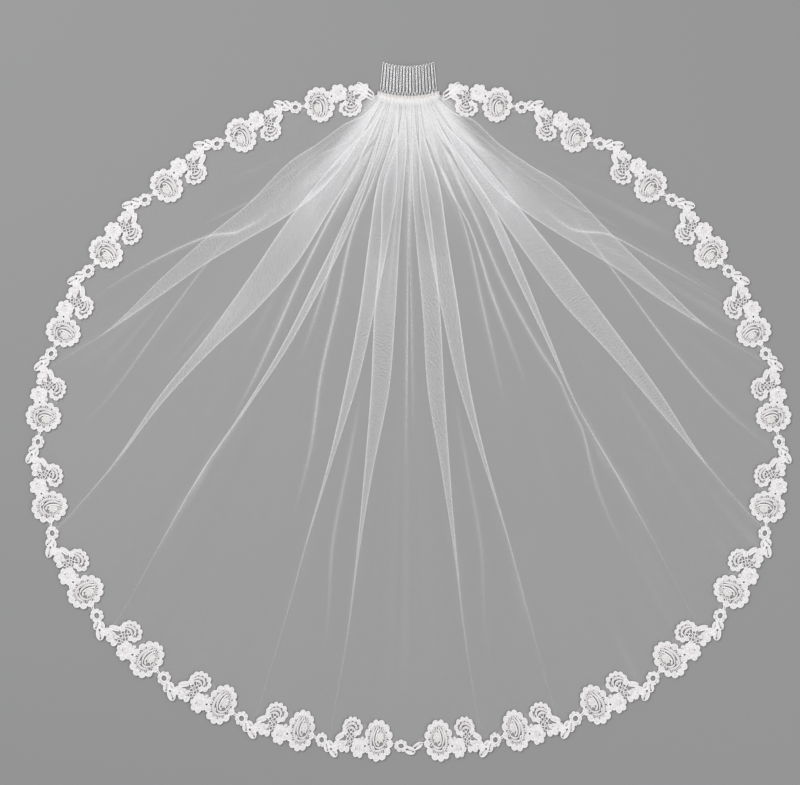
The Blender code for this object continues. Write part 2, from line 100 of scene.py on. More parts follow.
def new_finish(name, roughness, metallic=0.0):
    """A material, its shader and the start of its sums."""
    made = bpy.data.materials.new(name)
    made.use_nodes = True
    tree = made.node_tree
    shader = tree.nodes["Principled BSDF"]
    shader.inputs["Roughness"].default_value = roughness
    shader.inputs["Metallic"].default_value = metallic
    return made, shader, Shade(tree)


def feed(shader, socket, value):
    shader.id_data.links.new(value.socket, shader.inputs[socket])


def raise_surface(shades, shader, height, depth):
    """Bumps the surface by a value from 0 to 1 times a depth in metres."""
    bump = shades.node("ShaderNodeBump", {}, {"Strength": 1.0, "Distance": depth, "Height": height})
    feed(shader, "Normal", bump)


def lone(piece):
    """Makes one object the only selected one, and the active one."""
    bpy.ops.object.select_all(action="DESELECT")
    piece.select_set(True)
    bpy.context.view_layer.objects.active = piece
    return piece


steel, steel_shader, shades = new_finish("plated spring wire", 0.3, 0.8)
here = shades.node("ShaderNodeTexCoord", {}, {}, "Object")
drawn = shades.node("ShaderNodeMapping", {}, {"Vector": here, "Scale": (3000, 240, 3000)})
draw_lines = shades.noise(drawn, 1.0, 3.0)
feed(steel_shader, "Base Color", draw_lines.mixed((0.70, 0.70, 0.715, 1), (0.94, 0.94, 0.95, 1)))
feed(steel_shader, "Roughness", draw_lines * 0.16 + 0.24)
raise_surface(shades, steel_shader, draw_lines, 0.00002)

# Sizes in metres, and the tables in millimetres: how far each tooth leans at its tip, and half of a
# hairpin as its wire lies, sideways and out from the bar
MM = 0.001
COMB_BASE = 0.43935
BAR_HALF = 0.041
BAR_BOW = 0.007
BAR_ARCH = 0.006
TOOTH_COUNT = 17
TOOTH_PITCH = 0.00475
TOOTH_REACH = 43.2
TOOTH_TAPER = 0.1
WIRE_RADIUS = 0.0005
TIP_LIFT = 0.0004
TOOTH_LEAN = (0.3, -0.1, 0.2, 0.0, -0.3, 0.2, 0.4, -0.2, 0.1, -0.3, 0.3, 0.0, -0.2, 0.2, -0.1, 0.1, -0.3)
TOOTH_HALF = (
    (0.8, -0.5), (0.8, 1.2), (0.8, 3.0), (0.95, 4.4), (1.6, 6.2), (1.75, 8.0), (1.6, 11.0), (1.55, 19.0),
    (1.5, 29.0), (1.5, 37.0), (1.45, 40.6), (1.1, 42.6),
)


def comb_line(across):
    """How far up the bowed bar lies at a place across it."""
    return COMB_BASE + BAR_BOW * (across / BAR_HALF) ** 2


def comb_arch(across):
    """How high the arched bar stands off the surface at a place across it."""
    return BAR_ARCH * np.maximum(0, 1 - (across / BAR_HALF) ** 2)


def wires(name, paths, radius, resolution, finish):
    """Round wires or threads along lists of points, smoothed, as one mesh."""
    bpy.ops.object.select_all(action="DESELECT")
    bpy.ops.curve.primitive_nurbs_path_add()
    made = bpy.context.object
    made.name = name
    data = made.data
    data.splines.clear()
    data.dimensions = "3D"
    data.bevel_depth = radius
    data.bevel_resolution = 2
    data.resolution_u = resolution
    data.use_fill_caps = True
    for path, closed in paths:
        spline = data.splines.new("NURBS")
        spline.points.add(len(path) - 1)
        for knot, point in zip(spline.points, path):
            knot.co = (*point[:3], 1)
            knot.radius = point[3] if len(point) > 3 else 1
        spline.order_u = 4
        spline.use_cyclic_u = closed
        spline.use_endpoint_u = not closed
    lone(made)
    bpy.ops.object.convert(target="MESH")
    made = bpy.context.object
    bpy.ops.object.shade_smooth()
    made.data.materials.clear()
    made.data.materials.append(finish)
    return made


tooth_paths = []
for tooth, lean in enumerate(TOOTH_LEAN):
    root = (tooth - TOOTH_COUNT // 2) * TOOTH_PITCH
    level = WIRE_RADIUS + comb_arch(root)
    outline = [(-x, y) for x, y in TOOTH_HALF] + [(0, TOOTH_REACH), *reversed(TOOTH_HALF)]
    path = []
    for x, y in outline:
        far = max(0, y) / TOOTH_REACH
        across = root * (1 - TOOTH_TAPER * far) + (x + lean * far) * MM
        lift = TIP_LIFT * far * math.sin(tooth * 2.4)
        path.append((across, comb_line(root + x * MM) + y * MM, level + lift))
    tooth_paths.append((path, False))
teeth = wires("comb_teeth", tooth_paths, WIRE_RADIUS, 4, steel)
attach(teeth, "root")
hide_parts(*[f"comb_tooth_{tooth + 1:02d}" for tooth in range(TOOTH_COUNT)])

# The bar keeps its own shape and takes the same finish
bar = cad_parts["comb_bar"]
bar.data.materials.clear()
bar.data.materials.append(steel)


# Gathering band
# A folded strip of the veil's own white tulle and ribbon, wrapped over the comb's bar and the gathered
# edge. It is whipped on by hand with doubled thread between the teeth, which draws it into small puckers.

band_finish, band_shader, shades = new_finish("folded white ribbon", 0.62)
here = shades.node("ShaderNodeTexCoord", {}, {}, "Object")
across_threads = shades.node("ShaderNodeMapping", {}, {"Vector": here, "Scale": (9000, 9000, 900)})
weave = shades.node("ShaderNodeTexWave", {"wave_type": "BANDS", "bands_direction": "DIAGONAL"},
                    {"Vector": across_threads, "Scale": 0.3, "Distortion": 1.5}, "Fac")
mottle = shades.noise(here, 160.0, 3.0)
feed(band_shader, "Base Color", mottle.mixed((0.86, 0.82, 0.80, 1), (0.95, 0.93, 0.92, 1)))
feed(band_shader, "Roughness", weave * 0.15 + 0.5)
raise_surface(shades, band_shader, weave * 0.4 + mottle * 0.6, 0.0003)

# The section runs from under the comb's side of the bar, over it, and down onto the gathers, as
# millimetres back towards the hem and up
BAND_HALF_WIDTH = 0.0435
BAND_THICKNESS = 0.0005
END_ROUNDING = 0.03
BAND_SECTION = (
    (-0.9, 0.9), (-1.0, 2.3), (-0.2, 3.5), (1.4, 4.4), (3.2, 5.5), (5.4, 6.2), (8.0, 6.2), (10.4, 4.9),
    (12.6, 2.9),
)

bpy.ops.object.select_all(action="DESELECT")
bpy.ops.mesh.primitive_grid_add(x_subdivisions=260, y_subdivisions=22, size=1)
band = bpy.context.object
band.name = "ribbon_binding"
backs, ups = np.array(BAND_SECTION).T
steps = np.linspace(0, 1, len(backs))
for corner in band.data.vertices:
    along = corner.co.x + 0.5
    way = 0.5 - corner.co.y
    across = (along - 0.5) * 2 * BAND_HALF_WIDTH
    end = min(1.0, (1 - abs(along - 0.5) * 2) / END_ROUNDING)
    pucker = 0.5 + 0.5 * math.cos(2 * math.pi * across / TOOTH_PITCH)
    fine = math.sin(across * 2900 + 3 * math.sin(across * 310))
    fine += 0.6 * math.sin(across * 4700 + 1.3 + way * 2)
    deep = 0.45 * pucker * math.exp(-((way - 0.15) / 0.2) ** 2) + 0.22 * fine * (0.3 + way)
    ragged = 0.5 * math.sin(across * 1700 + 1) + 0.4 * math.sin(across * 720)
    back = np.interp(way, steps, backs) + (ragged * way ** 3) - 0.2 * pucker * (1 - way)
    up = (np.interp(way, steps, ups) + deep) * (0.55 + 0.45 * end ** 0.5)
    corner.co = (across, comb_line(across) - MM * back, MM * up + comb_arch(across))
lone(band)
wall = band.modifiers.new("cloth", "SOLIDIFY")
wall.thickness = BAND_THICKNESS
wall.offset = -1
bpy.ops.object.modifier_apply(modifier="cloth")
bpy.ops.object.shade_smooth()
band.data.materials.clear()
band.data.materials.append(band_finish)
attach(band, "root")
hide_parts("gathering_band")

stitch_finish, stitch_shader, shades = new_finish("doubled sewing thread", 0.5)
along_thread = shades.node("ShaderNodeUVMap", {}, {})
ply = shades.node("ShaderNodeMapping", {}, {"Vector": along_thread, "Scale": (14, 1, 1)})
ply_along = shades.node("ShaderNodeSeparateXYZ", {}, {"Vector": ply}, "X")
ply_round = shades.node("ShaderNodeSeparateXYZ", {}, {"Vector": ply}, "Y")
lay = ((ply_along + ply_round) * (2 * math.pi)).wave()
feed(stitch_shader, "Base Color", lay.mixed((0.85, 0.81, 0.78, 1), (0.95, 0.93, 0.905, 1)))
raise_surface(shades, stitch_shader, lay, 0.00012)

# Each stitch goes over the band in two strands, back and up in millimetres from the comb's side
STITCH_COUNT = 18
STRANDS = (-0.35, 0.35)
THREAD_RADIUS = 0.00024
STITCH_OVER = (
    (-0.4, 0.5), (-1.5, 1.1), (-1.7, 2.6), (-0.7, 4.3), (1.2, 5.3), (3.0, 6.1), (4.1, 6.1), (4.6, 5.2),
)
stitch_paths = []
for stitch in range(STITCH_COUNT):
    for strand in STRANDS:
        across = (stitch - (STITCH_COUNT - 1) / 2) * TOOTH_PITCH + strand * MM
        slant = 0.0006 * math.sin(stitch * 1.9) + 0.0004
        lift = comb_arch(across)
        path = []
        for place, (back, up) in enumerate(STITCH_OVER):
            aside = slant * place / (len(STITCH_OVER) - 1)
            path.append((across + aside, comb_line(across) - MM * back, MM * up + lift))
        stitch_paths.append((path, False))
stitches = wires("binding_stitches", stitch_paths, THREAD_RADIUS, 3, stitch_finish)
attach(stitches, "root")


# Tulle
# One piece of sheer nylon net with rounded corners, its straight edge drawn up by hand to the width of
# the comb. Fanned out flat, its fullness falls into flat pleats that lean outwards and soft creases
# between them.

# Lines of the sheet from its left edge to its right one: where each leaves the comb in millimetres, at
# which angle round from the bottom centre it meets the lace, and which way it leaves the comb in degrees
SHEET_LINES = (
    (-43.0, -172, -6), (-40.4, -113, 46), (-36.6, -101, 53), (-32.9, -86, 60), (-29.1, -75, 62),
    (-25.3, -55, 70), (-21.6, -40, 74), (-17.8, -31, 78), (-14.0, -23, 85), (-10.2, -16, 88),
    (-6.5, -11, 90), (-2.7, -1.5, 90), (2.7, 2, 90), (6.5, 10, 90), (10.2, 15, 92), (14.0, 22, 95),
    (17.8, 32, 102), (21.6, 41, 106), (25.3, 52, 110), (29.1, 76, 118), (32.9, 87, 120),
    (36.6, 102, 127), (40.4, 112, 134), (43.0, 172, 186),
)
MIDDLE_LINE = 11.5
STATIONS = (0, 0.08, 0.16, 0.26, 0.38, 0.50, 0.62, 0.74, 0.86, 0.96)

# Knots across the cloth from its left edge to its right one. Each follows a line of the sheet, and its
# steps are millimetres outwards from that line at the stations from the comb to the hem. At a root the
# cloth doubles back, and at a crest it turns again. Their last figure is the way out at which their edge
# is lost in the cloth. At a crease the cloth only rises, and its last figures say how strongly, from
# where and to where.
KNOTS = (
    ("crease", 1, (0, 0, 0, 0, 0, 0, 0, 0, 0, 0), (0.4, 0.0, 0.7)),
    ("crease", 2, (1, 2, 14, 25, 36, 42, 66, 88, 98, 100), (0.5, 0.05, 0.42)),
    ("crease", 2, (0, -2, -4, 0, 4, 10, 48, 73, 87, 90), (1.2, 0.40, 0.94)),
    ("root", 2, (-2, -10, -22, -28, -21, -6, 6, 8, 8, 9), 0.96),
    ("crest", 2, (1, 6, 24, 38, 56, 48, 48, 36, 11, 10), 0.96),
    ("crease", 3, (60, 70, 80, 88, 92, 88, 72, 43, 10, 0), (0.9, 0.52, 0.92)),
    ("crease", 3, (0, 4, 16, 46, 60, 50, 36, 16, -4, -10), (0.5, 0.03, 0.44)),
    ("root", 4, (-1, -6, -12, -14, -20, -14, 0, 4, -7, -13), 0.96),
    ("crest", 4, (1, 4, 18, 31, 38, 31, 22, 16, -4, -11), 0.96),
    ("crease", 5, (1, 4, 8, 14, 15, 8, 1, 1, 1, 1), (0.9, 0.08, 0.66)),
    ("root", 5, (-1, -6, -14, -20, -20, -18, -10, -3, -9, -18), 0.86),
    ("crest", 5, (0, -3, -6, -7, -7, -9, -6, -1, -7, -17), 0.86),
    ("crease", 6, (0, -2, 1, 13, 8, 4, 4, 4, 4, 4), (0.9, 0.05, 0.50)),
    ("crease", 7, (0, 0, 6, 16, 10, 3, -15, -20, -20, -20), (0.8, 0.05, 0.72)),
    ("root", 8, (-1, -5, -12, -12, -10, -8, 0, 5, 4, 3), 0.92),
    ("crest", 8, (1, 5, 16, 16, 11, 8, 6, 7, 5, 4), 0.92),
    ("crease", 9, (0, 0, 2, 2, 6, 12, 14, 13, -4, -4), (0.5, 0.50, 0.90)),
    ("root", 10, (-1, -5, -3, -1, -3, -5, 3, 6, 3, 3), 0.89),
    ("crest", 10, (1, 9, 26, 26, 27, 21, 16, 10, 5, 4), 0.89),
    ("crease", 10, (0, -2, 4, 7, 9, 6, 5, 5, 4, 3), (0.5, 0.04, 0.40)),
    ("crease", 11, (0, -1, -5, -4, -4, -4, -4, -4, -4, -4), (0.9, 0.04, 0.62)),
    ("crease", 12, (0, 0, -1, -3, -2, -2, -2, -2, -2, -2), (0.6, 0.04, 0.58)),
    ("crest", 13, (1, 6, 16, 23, 25, 21, 16, 10, 5, 4), 0.89),
    ("root", 13, (-1, -3, -4, -2, 0, -3, 3, 6, 3, 3), 0.89),
    ("crease", 14, (0, 0, 2, 2, 6, 12, 14, 13, -4, -4), (0.5, 0.50, 0.90)),
    ("crest", 15, (1, 5, 16, 16, 14, 8, 7, 10, 9, 6), 0.92),
    ("root", 15, (-1, -5, -12, -12, -10, -8, 1, 8, 8, 5), 0.92),
    ("crease", 16, (0, -4, 11, 18, 12, 4, -5, -10, -10, -10), (0.9, 0.04, 0.56)),
    ("crease", 17, (0, -4, -6, 6, 3, 2, -4, -20, -20, -20), (0.9, 0.06, 0.54)),
    ("crease", 18, (0, -2, -1, 0, -3, 0, 6, -24, -36, -40), (0.9, 0.06, 0.84)),
    ("crest", 18, (1, 6, 20, 34, 33, 23, 11, 12, 8, 0), 0.86),
    ("root", 18, (0, 3, 8, 18, 17, 15, 9, 10, 7, -1), 0.86),
    ("crest", 19, (1, 4, 18, 31, 38, 41, 34, 20, -6, -14), 0.96),
    ("root", 19, (-1, -4, -6, -5, -6, -8, -2, -4, -9, -16), 0.96),
    ("crease", 20, (0, 4, 16, 40, 52, 46, 34, 12, -6, -10), (0.5, 0.03, 0.44)),
    ("crease", 20, (50, 60, 70, 80, 86, 84, 65, 35, 11, 4), (1.0, 0.50, 0.96)),
    ("crest", 21, (1, 9, 31, 36, 51, 67, 52, 31, 8, 7), 0.96),
    ("root", 21, (-2, -10, -20, -28, -22, -11, 0, 1, 5, 6), 0.96),
    ("crease", 21, (0, -2, -4, 0, 4, 8, 46, 62, 73, 76), (1.3, 0.40, 0.93)),
    ("crease", 21, (1, 2, 14, 22, 32, 40, 60, 76, 84, 86), (0.5, 0.05, 0.40)),
    ("crease", 22, (0, 0, 0, 0, 0, 0, 0, 0, 0, 0), (0.4, 0.0, 0.7)),
)

# The lace follows an oval that is taller above its middle than below it, and a little squarer below. The
# hem runs out under the lace, and the gathered edge lies under the band.
CENTRE_Y = -0.04015
HEM_HALF_WIDTH = 0.5125
HEM_RISE = 0.4865
HEM_DROP = 0.422
ROUNDNESS_ABOVE = 1.92
ROUNDNESS_BELOW = 2.12
EDGE_UNDER_LACE = 0.008
GATHERED_EDGE = 0.0042


def lace_line(degrees, side):
    """Points of the line that the lace follows, by their angle round from the bottom centre."""
    across = np.sin(np.radians(degrees))
    up = -np.cos(np.radians(degrees))
    power = np.where(up > 0, 2 / ROUNDNESS_ABOVE, 2 / ROUNDNESS_BELOW)
    height = np.where(up > 0, HEM_RISE, HEM_DROP)
    x = side * HEM_HALF_WIDTH * np.sign(across) * np.abs(across) ** power
    y = height * np.sign(up) * np.abs(up) ** power + CENTRE_Y
    return np.stack([x, y], -1)


def lace_outwards(degrees, side):
    """The direction square to the lace at an angle round from the bottom centre."""
    along = lace_line(degrees - 0.2, side) - lace_line(degrees + 0.2, side)
    normal = np.stack([-side * along[..., 1], side * along[..., 0]], -1)
    return normal / np.linalg.norm(normal, axis=-1, keepdims=True)


def sheet_point(line, out):
    """Points of the smooth fan: lines counted from the left edge, out from comb to hem."""
    count = np.arange(len(SHEET_LINES))
    starts, ends, leaves = np.array(SHEET_LINES, float).T
    start = np.interp(line, count, starts) * MM
    degrees = np.interp(line, count, ends)
    slope = np.radians(np.interp(line, count, leaves))
    side = np.where(degrees < 0, -1, 1)
    near = np.stack([start, comb_line(start) - GATHERED_EDGE], -1)
    far = lace_line(np.abs(degrees), side) + lace_outwards(np.abs(degrees), side) * EDGE_UNDER_LACE
    straight = np.linalg.norm(far - near, axis=-1) * 0.4
    turn = near - np.stack([np.cos(slope), np.sin(slope)], -1) * straight[..., None]
    part = out[..., None]
    return near * (1 - part) ** 2 + turn * 2 * part * (1 - part) + far * part ** 2


def smooth_noise(values, seed, spacing):
    """Even, repeatable noise from -1 to 1 along a length, with humps about as wide as the spacing."""
    heights = np.random.default_rng(seed).uniform(-1, 1, 4096)
    place = np.asarray(values) / spacing + 1000
    low = np.floor(place).astype(int)
    part = place - low
    part = part * part * (3 - 2 * part)
    return heights[low % 4096] * (1 - part) + heights[(low + 1) % 4096] * part


def eased(at, stations, steps):
    """The step at each place, on a smooth curve through the steps given at the stations."""
    stations = np.array(stations, float)
    steps = np.array(steps, float)
    slopes = np.gradient(steps, stations)
    i = np.clip(np.searchsorted(stations, at) - 1, 0, len(stations) - 2)
    span = stations[i + 1] - stations[i]
    t = np.clip((at - stations[i]) / span, 0, 1)
    return (steps[i] * (2 * t ** 3 - 3 * t ** 2 + 1) + steps[i + 1] * (3 * t ** 2 - 2 * t ** 3)
            + span * (slopes[i] * (t ** 3 - 2 * t ** 2 + t) + slopes[i + 1] * (t ** 3 - t ** 2)))


def read_off(at, table):
    """The value at each place, on straight lines through a table's pairs of place and value."""
    places, values = np.array(table).T
    return np.interp(at, places, values)


def rising(values, begin, length):
    """From 0 to 1 over a length that begins at a value."""
    return np.clip((values - begin) / length, 0, 1)


def falling(values, end, length):
    """From 1 to 0 over a length that ends at a value."""
    return np.clip((end - values) / length, 0, 1)


def hump(values, middle, width):
    """A smooth rise to 1 at a value, and back to 0 on both sides of it."""
    return np.exp(-((values - middle) / width) ** 2)


# Rows run across the cloth and lie closer together near the comb. Along each, places are lengths from its
# left end, found on many fine lines of the fan.
ROW_COUNT = 126
ROW_CROWDING = 1.25
FINE_COUNT = 1841
row_growth = np.linspace(0, 1, ROW_COUNT)
outs = (np.exp(ROW_CROWDING * row_growth) - 1) / (math.exp(ROW_CROWDING) - 1)
fine_lines = np.linspace(0, len(SHEET_LINES) - 1, FINE_COUNT)
every_point = (ROW_COUNT, FINE_COUNT)
fan = sheet_point(np.broadcast_to(fine_lines, every_point), np.broadcast_to(outs[:, None], every_point))
lengths = np.zeros(every_point)
lengths[:, 1:] = np.cumsum(np.linalg.norm(np.diff(fan, axis=1), axis=2), axis=1)
whole_row = lengths[:, -1]

# Where each knot lies along each row, with the cloth kept in order between its turns
SIDE_MARGIN = 0.012
INNER_MARGIN = 0.06
places = [np.zeros(ROW_COUNT)]
for kind, line, steps, _ in KNOTS:
    side = -1 if line < MIDDLE_LINE else 1
    on_line = np.array([np.interp(line, fine_lines, row) for row in lengths])
    places.append(on_line + side * (eased(outs, STATIONS, steps) * MM))
places.append(whole_row)
kinds = ["edge"] + [knot[0] for knot in KNOTS] + ["edge"]
turns = [knot for knot, kind in enumerate(kinds) if kind != "crease"]
for knot in turns[1:-1]:
    places[knot] = np.clip(places[knot], SIDE_MARGIN * whole_row, (1 - SIDE_MARGIN) * whole_row)
for first, last in zip(turns, turns[1:]):
    low, high = places[first], places[last]
    margin = (high - low) * INNER_MARGIN
    for count in range(1, last - first):
        least = low + margin * count
        most = high - margin * (last - first - count)
        places[first + count] = np.clip(places[first + count], least, most)

# Columns of points: close beside each fold edge and crease, wider over plain cloth. A run is the cloth
# between two turns, and a column's strength is how fully it shares in the nearest knot.
BESIDE_TURN = (0.0008, 0.0026)
BESIDE_CREASE = (0.0016, 0.0042)
BESIDE_SHARES = (0.10, 0.24)
BESIDE_STRENGTHS = (0.45, 0.08)
PLAIN_SPACING = 0.0068
columns = []
runs = []
strength = []


def add_column(at, run, knot, power):
    columns.append(at)
    runs.append(run)
    strength.append((knot, power))


run = 0
for knot, (low, high) in enumerate(zip(places, places[1:])):
    gap = high - low
    way = np.sign(gap)
    near = BESIDE_CREASE if kinds[knot] == "crease" else BESIDE_TURN
    far = BESIDE_CREASE if kinds[knot + 1] == "crease" else BESIDE_TURN
    add_column(low, run, knot, 1.0)
    for step, share, power in zip(near, BESIDE_SHARES, BESIDE_STRENGTHS):
        add_column(low + way * np.minimum(step, np.abs(gap) * share), run, knot, power)
    start = columns[-1]
    stop = high - way * np.minimum(far[1], np.abs(gap) * BESIDE_SHARES[1])
    fill = int(np.abs(stop - start).max() / PLAIN_SPACING)
    for count in range(1, fill + 1):
        add_column(start + (stop - start) * count / (fill + 1), run, knot, 0.0)
    for step, share, power in reversed(list(zip(far, BESIDE_SHARES, BESIDE_STRENGTHS))):
        add_column(high - way * np.minimum(step, np.abs(gap) * share), run, knot + 1, power)
    if kinds[knot + 1] != "crease":
        run += 1
add_column(places[-1], run - 1, len(places) - 1, 1.0)
across_rows = np.stack(columns, 1)
runs = np.array(runs)
COLUMN_COUNT = len(runs)

# Each run lies on the ones outside it, and the middle one on the runs of both sides. Every second run is
# the middle layer of a pleat, which tells where the net lies threefold.
LAYER_BLUR = 0.0040
run_bounds = []
for first, last in zip(turns, turns[1:]):
    run_bounds.append((np.minimum(places[first], places[last]), np.maximum(places[first], places[last])))
middle_run = len(run_bounds) // 2
layers = np.zeros_like(across_rows)
pleated = np.zeros_like(across_rows)
stacked = np.zeros_like(across_rows)
for number, (low, high) in enumerate(run_bounds):
    above = ((runs > number) & (runs <= middle_run)) | ((runs < number) & (runs >= middle_run))
    past_low = np.clip((across_rows - low[:, None]) / LAYER_BLUR + 0.5, 0, 1)
    over = past_low * np.clip((high[:, None] - across_rows) / LAYER_BLUR + 0.5, 0, 1)
    layers += over * above
    if number % 2 == 1:
        pleated = np.maximum(pleated, over)
        stacked += over

# Points in plan, the line of the fan that each lies on, and lengths along the cloth itself for its noise
plan = np.zeros((ROW_COUNT, COLUMN_COUNT, 2))
fan_line = np.zeros((ROW_COUNT, COLUMN_COUNT))
for row in range(ROW_COUNT):
    fan_line[row] = np.interp(across_rows[row], lengths[row], fine_lines)
    for axis in (0, 1):
        plan[row, :, axis] = np.interp(across_rows[row], lengths[row], fan[row, :, axis])
out = outs[:, None]
cloth = np.concatenate([[0], np.cumsum(np.abs(np.diff(across_rows[-1])) + 0.0015)])[None, :]

# How high the cloth stands: gathers of three widths, the finer ones lost sooner, the arch of the comb,
# the step down from the band, and the layers. The tables give the way out and millimetres.
GATHER_HEIGHT = (
    (0, 1.2), (0.008, 3.2), (0.02, 2.2), (0.05, 1.6), (0.10, 1.4), (0.18, 1.3), (0.32, 1.0), (0.55, 0.7),
    (0.8, 0.35), (1, 0),
)
BAND_STEP = ((0, 6.0), (0.004, 5.7), (0.010, 4.2), (0.022, 1.4), (0.05, 0))
SHEET_LIFT = 0.0004
LAYER_STEP = 0.00042
ripple = 0.5 + 0.17 * np.sin(fan_line * 5.1 + 0.7 + out * 2) * np.exp(-out * 1.2)
ripple += 0.09 * np.sin(fan_line * 11.3 + 2.1 * np.sin(fan_line * 0.7)) * np.exp(-out * 4)
ripple += 0.06 * np.sin(fan_line * 19.7 + 1.9 * np.sin(fan_line * 1.3)) * np.exp(-out * 9)
start_x = np.interp(fan_line, np.arange(len(SHEET_LINES)), np.array(SHEET_LINES)[:, 0] * MM)
height = SHEET_LIFT + read_off(out, GATHER_HEIGHT) * MM * ripple
height += comb_arch(start_x) * np.maximum(0, 1 - out / 0.15) ** 2
height += MM * read_off(out, BAND_STEP)
height += LAYER_STEP * layers * falling(out, 1, 0.08)

# Creases and the edges of pleats rise a little and show as brighter lines
CREASE_RISE = 0.0022
EDGE_RISE = 0.0006
OPEN_WIDTH = 0.005
crease_height = np.zeros_like(height)
edge_line = np.zeros_like(height)
for column, (knot, power) in enumerate(strength):
    if kinds[knot] == "crease":
        force, begin, end = KNOTS[knot - 1][3]
        shown = rising(outs, begin, 0.12) * falling(outs, end, 0.16)
        crease_height[:, column] = CREASE_RISE * force * power * shown
        edge_line[:, column] = 0.75 * force * power * shown
    elif kinds[knot] != "edge":
        _, line, _, tail_end = KNOTS[knot - 1]
        partner = knot + 1 if kinds[knot + 1] != "crease" and KNOTS[knot][1] == line else knot - 1
        width = np.abs(places[knot] - places[partner])
        open_lap = np.clip(width / OPEN_WIDTH, 0.14, 1) * falling(outs, tail_end, 0.12)
        edge_line[:, column] = power * open_lap * (1.0 if kinds[knot] == "crest" else 0.75)
        crease_height[:, column] = EDGE_RISE * power * open_lap
height += crease_height

# The narrow tail of each pleat ends in a soft, brushed crease, plainest where the edge is lost early
BRUSH_WIDTH = 0.0055
LONG_BRUSH_BEFORE = 0.87
brushed = np.zeros_like(height)
for knot, kind in enumerate(kinds):
    if kind == "root":
        tail_end = KNOTS[knot - 1][3]
        wander = places[knot] + 0.002 * np.sin(outs * 60)
        shown = rising(outs, tail_end - 0.28, 0.12) * falling(outs, tail_end + 0.03, 0.14)
        soft = 1.0 if tail_end < LONG_BRUSH_BEFORE else 0.3
        tail = hump(across_rows, wander[:, None], BRUSH_WIDTH)
        brushed = np.maximum(brushed, soft * tail * shown[:, None])

# How closely the net is drawn together, as the share that the threads of one layer cover at each way out,
# and how much further the dense gathers reach along each line of the sheet
SHEET_COVER = (
    (0, 0.90), (0.015, 0.88), (0.03, 0.85), (0.045, 0.81), (0.062, 0.75), (0.081, 0.68), (0.111, 0.57),
    (0.137, 0.45), (0.173, 0.29), (0.22, 0.16), (0.28, 0.110), (0.40, 0.090), (0.65, 0.074), (1, 0.066),
)
GATHER_REACH = (
    (0, 0.4), (0.9, 0.55), (1.4, 1.0), (1.9, 1.35), (3.2, 1.4), (4.6, 1.2), (5.5, 1.0), (8, 0.90),
    (9.5, 0.92), (11.5, 0.94), (13.5, 0.92), (15, 0.90), (17.5, 1.0), (18.4, 1.2), (19.8, 1.4),
    (21.1, 1.35), (21.6, 1.0), (22.1, 0.55), (23, 0.4),
)
cover_at, cover_share = np.array(SHEET_COVER).T
cover = eased(out / read_off(fan_line, GATHER_REACH), cover_at, cover_share)
cover = 1 - (1 - cover) ** (1 / (1 + 2 * stacked * falling(out, 0.30, 0.18)))

# Rays and slits run out from the gathers
rays = 0.40 * smooth_noise(cloth, 3, 0.030) + 0.40 * smooth_noise(cloth, 5, 0.013)
rays += 0.50 * smooth_noise(cloth, 8, 0.006)
slits = (1 - np.abs(smooth_noise(cloth, 61, 0.034))) ** 9
cover *= np.clip(1 + rays * (0.40 * hump(out, 0.16, 0.09) + 0.10), 0.3, 2)
cover *= 1 - 0.25 * slits * hump(out, 0.16, 0.07)

# Where the gathers part, as pairs of way out and line of the sheet, and how far the net opens there
PARTINGS = (
    (((0.05, 8.7), (0.09, 7.7), (0.12, 7.3), (0.16, 7.05), (0.20, 6.9)), 0.6),
    (((0.07, 5.4), (0.084, 5.14), (0.12, 4.67), (0.15, 4.45), (0.22, 4.45)), 0.5),
    (((0.08, 11.4), (0.114, 11.4), (0.168, 11.7), (0.21, 11.8)), 0.5),
    (((0.05, 14.6), (0.074, 15.38), (0.094, 15.76), (0.14, 16.09), (0.20, 16.2)), 0.6),
    (((0.07, 17.55), (0.084, 17.75), (0.124, 18.25), (0.163, 18.44), (0.25, 18.55)), 0.55),
    (((0.14, 20.5), (0.163, 20.49), (0.235, 20.54), (0.30, 20.4)), 0.5),
    (((0.17, 3.0), (0.192, 2.91), (0.228, 2.76), (0.30, 2.45)), 0.5),
)
for steps, depth in PARTINGS:
    aside = np.abs(fan_line - read_off(out, steps))
    shown = rising(out, steps[0][0], 0.03) * falling(out, steps[-1][0] + 0.03, 0.05)
    cover *= 1 + shown * (0.25 * hump(aside, 0.26, 0.08) - depth * hump(aside, 0, 0.13))

# Bright ridges near the comb, faint wisps further out, and fine streaks down the middle
ridges = (1 - np.abs(smooth_noise(cloth, 41, 0.05))) ** 7
ridges += (1 - np.abs(smooth_noise(cloth, 43, 0.028))) ** 8
broken = 0.5 + 0.5 * smooth_noise(out + cloth * 1.7, 47, 0.15)
cover += 0.16 * ridges * broken * hump(out, 0.14, 0.12)
wisps = np.maximum(0, smooth_noise(cloth, 31, 0.009)) ** 2
drifting = np.maximum(0, smooth_noise(out + cloth * 0.9, 33, 0.16))
cover += 0.10 * wisps * drifting * rising(out, 0.3, 0.2)
streaks = hump(fan_line, MIDDLE_LINE, 0.75) * np.maximum(0, 0.3 + smooth_noise(cloth, 51, 0.010))
cover += 0.045 * streaks * rising(out, 0.4, 0.25) * falling(out, 0.95, 0.12)

